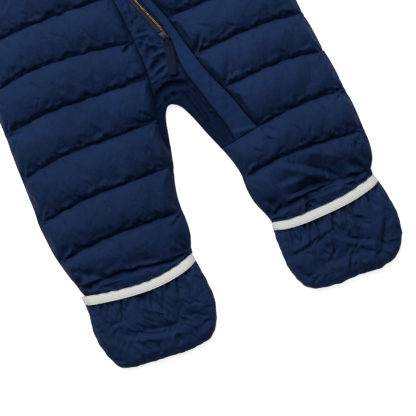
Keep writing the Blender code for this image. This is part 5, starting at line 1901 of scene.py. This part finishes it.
class SNOWSUIT_OT_fronts(bpy.types.Operator):
    """Makes the two quilted fronts"""

    bl_idname = "snowsuit.fronts"
    bl_label = "Quilted fronts"

    def execute(self, context):
        filling = context.scene.snowsuit_filling
        cloth = nylon("quilted nylon", context.scene.snowsuit_cloth.nylon, 0.5)
        for word, side in SIDES:
            node = "front_" + word
            made = quilt_front(node + "_quilting", side, filling)
            quilt_piece(context, cloth, node, *made, 0.7)
        return {"FINISHED"}


class SNOWSUIT_OT_backs(bpy.types.Operator):
    """Makes both halves of the quilted back"""

    bl_idname = "snowsuit.backs"
    bl_label = "Quilted back"

    def execute(self, context):
        filling = context.scene.snowsuit_filling
        cloth = nylon("back nylon", context.scene.snowsuit_cloth.nylon, 0.45)
        for word, side in SIDES:
            node = "back_" + word
            made = quilt_back(node + "_quilting", side, filling)
            quilt_piece(context, cloth, node, *made, 0.6, lift=0.0)
        return {"FINISHED"}


class SNOWSUIT_OT_sleeves(bpy.types.Operator):
    """Makes the quilted sleeves and their gathered cuffs"""

    bl_idname = "snowsuit.sleeves"
    bl_label = "Sleeves and cuffs"

    def execute(self, context):
        filling = context.scene.snowsuit_filling
        colours = context.scene.snowsuit_cloth
        cloth = nylon("sleeve nylon", colours.nylon, 0.5)
        plain = nylon("cuff nylon", colours.plain, 0.6)
        for word, side in SIDES:
            for half, upper in (("front", True), ("back", False)):
                node = "sleeve_" + half + "_" + word
                made = quilt_sleeve(node + "_quilting", side, filling, upper)
                quilt_piece(context, cloth, node, *made, 0.7)
            cuff = gathered_cuff("cuff_" + word + "_binding", side)
            walled(cuff, 1.8)
            keep_level(cuff, 0.0)
            dress(cuff, plain, ["cuff_" + word])
        return {"FINISHED"}


class SNOWSUIT_OT_collar(bpy.types.Operator):
    """Makes the padded stand collar"""

    bl_idname = "snowsuit.collar"
    bl_label = "Collar"

    def execute(self, context):
        cloth = nylon("collar nylon", context.scene.snowsuit_cloth.nylon, 0.5)
        collar = quilt_collar("collar_padding", context.scene.snowsuit_filling)
        dress(collar, cloth, ["collar"])
        return {"FINISHED"}


class SNOWSUIT_OT_opening(bpy.types.Operator):
    """Makes the placket, the crotch gusset and the storm flap"""

    bl_idname = "snowsuit.opening"
    bl_label = "Placket, gusset and storm flap"

    def execute(self, context):
        frames = context.scene.snowsuit_filling.frames
        colour = context.scene.snowsuit_cloth.plain
        plain = nylon("plain nylon", colour, 0.5)
        # The flap's nylon is the plain nylon lightened by 1.16, which is painted light, with
        # smaller crumples of its own.
        smooth = nylon("flap nylon", shaded(colour, 1.16), 0.25)
        # The gusset's nylon is the plain nylon darkened to 0.52: painted shade for the crotch,
        # which lies in shade.
        deep = nylon("gusset nylon", shaded(colour, 0.52), 0.5)
        in_placket = wrinkles(90, -15.0, 26.0, 30.0, 200.0, 40.0, 45.0, 11, 1.0, 1.7)
        in_gusset = wrinkles(70, -22.0, 46.0, -64.0, 28.0, 100.0, 35.0, 12, 0.9, 1.6)
        worn = (FINE_CELL, 0.24, 2.2, 0.06, FRONT_FLOOR, FRONT_FLOOR, WORN_TOP)
        flat = (FLAP_CELL, 0.03, 0.8, 0.15, FLAP_FLOOR, FLAP_FLOOR + 1.3, FREE_HIGH)
        for name, node, arrays, size, creases, cloth, way in (
                ("placket_facing", "placket", placket_arrays, (64.0, 430.0),
                 PLACKET_CREASES + in_placket, plain, worn),
                ("gusset_facing", "crotch_gusset", gusset_arrays, (104.0, 98.0),
                 GUSSET_CREASES + in_gusset, deep, worn),
                ("storm_flap_cloth", "storm_flap", flap_arrays, (36.0, 520.0),
                 FLAP_CREASES, smooth, flat)):
            cell, spare, most, bend, floor, lowest, highest = way
            piece = cloth_from(name, [arrays(cell)])
            swell(piece, 2.0, spare, frames, most, bend)
            keep_level(piece, lowest, highest)
            refine(piece)
            press_creases(piece, creases, floor + 1.2)
            thin_shell(piece, floor + 0.05, CLOTH_WALL)
            dress(piece, cloth, [node])
        for name, under, edges, ends in (
                ("storm_flap_thread", "storm_flap_cloth", ((flap_edge, 2.4), (flap_seam, -3.0)),
                 (-60.0, 430.0, 220)),
                ("placket_thread", "placket_facing", ((right_seam, 2.4),), (34.0, 428.0, 160))):
            paths = [[(float(edge(y)) + inwards, y) for y in steps(*ends)]
                     for edge, inwards in edges]
            paths = on_surface(bpy.data.objects[under], paths)
            stitched(context, name, paths, 2.8, 2.0, 0.4)
        return {"FINISHED"}


class SNOWSUIT_OT_feet(bpy.types.Operator):
    """Makes the fold-over foot covers, their soles and the pale tape"""

    bl_idname = "snowsuit.feet"
    bl_label = "Foot covers"

    def execute(self, context):
        colours = context.scene.snowsuit_cloth
        filling = context.scene.snowsuit_filling
        # The covers' and soles' nylon is the quilted nylon lightened by 1.1: painted light.
        plain = nylon("foot nylon", shaded(colours.nylon, 1.1), 0.5)
        # 0.86 darkens the tape's rib grooves and lightens the rib tops: painted shade and painted
        # highlight.
        pale = webbing("pale tape", colours.tape, 1.9, 0.86, 0.62, 0.2)
        white = thread("pale yarn", colours.tape)
        for word, foot in (("right", RIGHT_FOOT), ("left", LEFT_FOOT)):
            cover = cloth_from("foot_cover_" + word + "_cloth", [foot.cover(COVER_CELL)])
            swell(cover, 2.2, 0.13, filling.frames, 2.6, 0.07)
            keep_level(cover, FRONT_FLOOR, 40.0)
            refine(cover)
            press_creases(cover, foot.creases, FRONT_FLOOR + 2.0)
            thin_shell(cover, FRONT_FLOOR + 0.05, CLOTH_WALL)
            dress(cover, plain, ["foot_cover_" + word])
            tape, paths = make_tape("foot_tape_" + word, foot)
            refine(tape)
            walled(tape, 1.0)
            dress(tape, pale, ["foot_band_" + word])
            yarn = sew("foot_tape_" + word + "_thread", paths, 2.6, 1.9, 0.36, 0.05)
            dress(yarn, white)
            sole = cloth_from("foot_sole_" + word + "_cloth", [foot.sole(SOLE_CELL)], up=False)
            swell(sole, 2.0, 0.05, filling.frames - HIDDEN_LESS, 2.0, 0.2)
            keep_level(sole, 0.0, BACK_THICK)
            refine(sole)
            close_at(sole, BACK_THICK - 0.1)
            dress(sole, plain, ["foot_sole_" + word])
        return {"FINISHED"}


class SNOWSUIT_OT_zip(bpy.types.Operator):
    """Makes the zip's teeth, slider and pull, and finishes its tapes"""

    bl_idname = "snowsuit.zip"
    bl_label = "Zip"

    def execute(self, context):
        colours = context.scene.snowsuit_cloth
        # The teeth's brass is dulled and also darkened as painted shade for teeth partly under the
        # flap.
        brass = metal("dulled brass", colours.brass, shaded(colours.brass, 0.35), 0.34)
        dark = metal("darkened brass", (0.035, 0.034, 0.045), (0.012, 0.012, 0.018), 0.45)
        tape = woven("zip tape", colours.zip_tape, 0.0007)
        ribbed = webbing("pull webbing", colours.pull, 0.95)
        for name in ("zip_tape_right", "zip_tape_left"):
            node = bpy.data.objects[name]
            for slot in node.material_slots:
                slot.material = tape
        dress(make_teeth("zip_teeth_row"), brass, ["zip_teeth_right"])
        dress(make_slider("slider_body"), dark, ["zip_slider"])
        pull, paths = make_pull("pull_tab")
        dress(pull, ribbed, ["zip_pull"], "pull")
        stitched(context, "pull_thread", paths, 1.3, 1.1, 0.35, 0.3, "pull")
        return {"FINISHED"}


class SNOWSUIT_OT_stage(bpy.types.Operator):
    """Makes the floor, the light and the camera"""

    bl_idname = "snowsuit.stage"
    bl_label = "Floor, light and camera"

    def execute(self, context):
        stage = context.scene.snowsuit_stage
        bm = bmesh.new()
        bmesh.ops.create_grid(bm, x_segments=1, y_segments=1, size=4.0)
        floor = object_from("floor", bm)
        pale = Finish("pale floor")
        floor.data.materials.append(pale.set(
            base_color=(0.93, 0.93, 0.93, 1.0), roughness=0.9,
            emission_color=(1.0, 1.0, 1.0, 1.0), emission_strength=FLOOR_GLOW))
        world = bpy.data.worlds.new("studio")
        world.use_nodes = True
        round_about = world.node_tree.nodes["Background"].inputs
        round_about["Color"].default_value = (1.0, 1.0, 1.0, 1.0)
        round_about["Strength"].default_value = stage.fill
        context.scene.world = world
        middle = Vector(place(*SHOWN_MIDDLE))
        up = Vector((math.sin(stage.turn), math.cos(stage.turn), 0.0))
        right = Vector((up.y, -up.x, 0.0))
        light = bpy.data.lights.new("main light", "AREA")
        light.energy = stage.key
        light.shape = "DISK"
        light.size = LIGHT_SIZE
        lamp = bpy.data.objects.new("main light", light)
        context.collection.objects.link(lamp)
        lamp.location = middle + up * LIGHT_UP - right * LIGHT_LEFT + Vector((0, 0, LIGHT_HIGH))
        lamp.rotation_euler = (middle - lamp.location).to_track_quat("-Z", "Y").to_euler()
        data = bpy.data.cameras.new("camera")
        data.lens = stage.lens
        camera = bpy.data.objects.new("camera", data)
        context.collection.objects.link(camera)
        distance = stage.width / 2 / (data.sensor_width / 2 / data.lens)
        camera.matrix_world = Matrix.Translation(middle + Vector((0, 0, distance))) @ Matrix((
            (right.x, up.x, 0.0, 0.0), (right.y, up.y, 0.0, 0.0), (0.0, 0.0, 1.0, 0.0),
            (0.0, 0.0, 0.0, 1.0)))
        context.scene.camera = camera
        context.scene.view_settings.view_transform = "Standard"
        return {"FINISHED"}


STEPS = ("stage", "fronts", "backs", "sleeves", "collar", "opening", "feet", "zip")
CLASSES = [SnowsuitCloth, SnowsuitFilling, SnowsuitStage, SNOWSUIT_OT_fronts,
           SNOWSUIT_OT_backs, SNOWSUIT_OT_sleeves, SNOWSUIT_OT_collar, SNOWSUIT_OT_opening,
           SNOWSUIT_OT_feet, SNOWSUIT_OT_zip, SNOWSUIT_OT_stage]


class SNOWSUIT_PT_panel(bpy.types.Panel):
    """Lists the snowsuit's settings and pieces"""

    bl_idname = "SNOWSUIT_PT_panel"
    bl_label = "Snowsuit"
    bl_space_type = "VIEW_3D"
    bl_region_type = "UI"
    bl_category = "Snowsuit"

    def draw(self, context):
        for group in ("cloth", "filling", "stage"):
            settings = getattr(context.scene, "snowsuit_" + group)
            for key in settings.bl_rna.properties.keys():
                if key not in ("rna_type", "name"):
                    self.layout.prop(settings, key)
        for step in STEPS:
            self.layout.operator("snowsuit." + step)


def register():
    for cls in CLASSES + [SNOWSUIT_PT_panel]:
        bpy.utils.register_class(cls)
    bpy.types.Scene.snowsuit_cloth = PointerProperty(type=SnowsuitCloth)
    bpy.types.Scene.snowsuit_filling = PointerProperty(type=SnowsuitFilling)
    bpy.types.Scene.snowsuit_stage = PointerProperty(type=SnowsuitStage)


def unregister():
    del bpy.types.Scene.snowsuit_cloth
    del bpy.types.Scene.snowsuit_filling
    del bpy.types.Scene.snowsuit_stage
    for cls in reversed(CLASSES + [SNOWSUIT_PT_panel]):
        bpy.utils.unregister_class(cls)


def main():
    register()
    for step in STEPS:
        getattr(bpy.ops.snowsuit, step)()


if __name__ == "__main__":
    main()
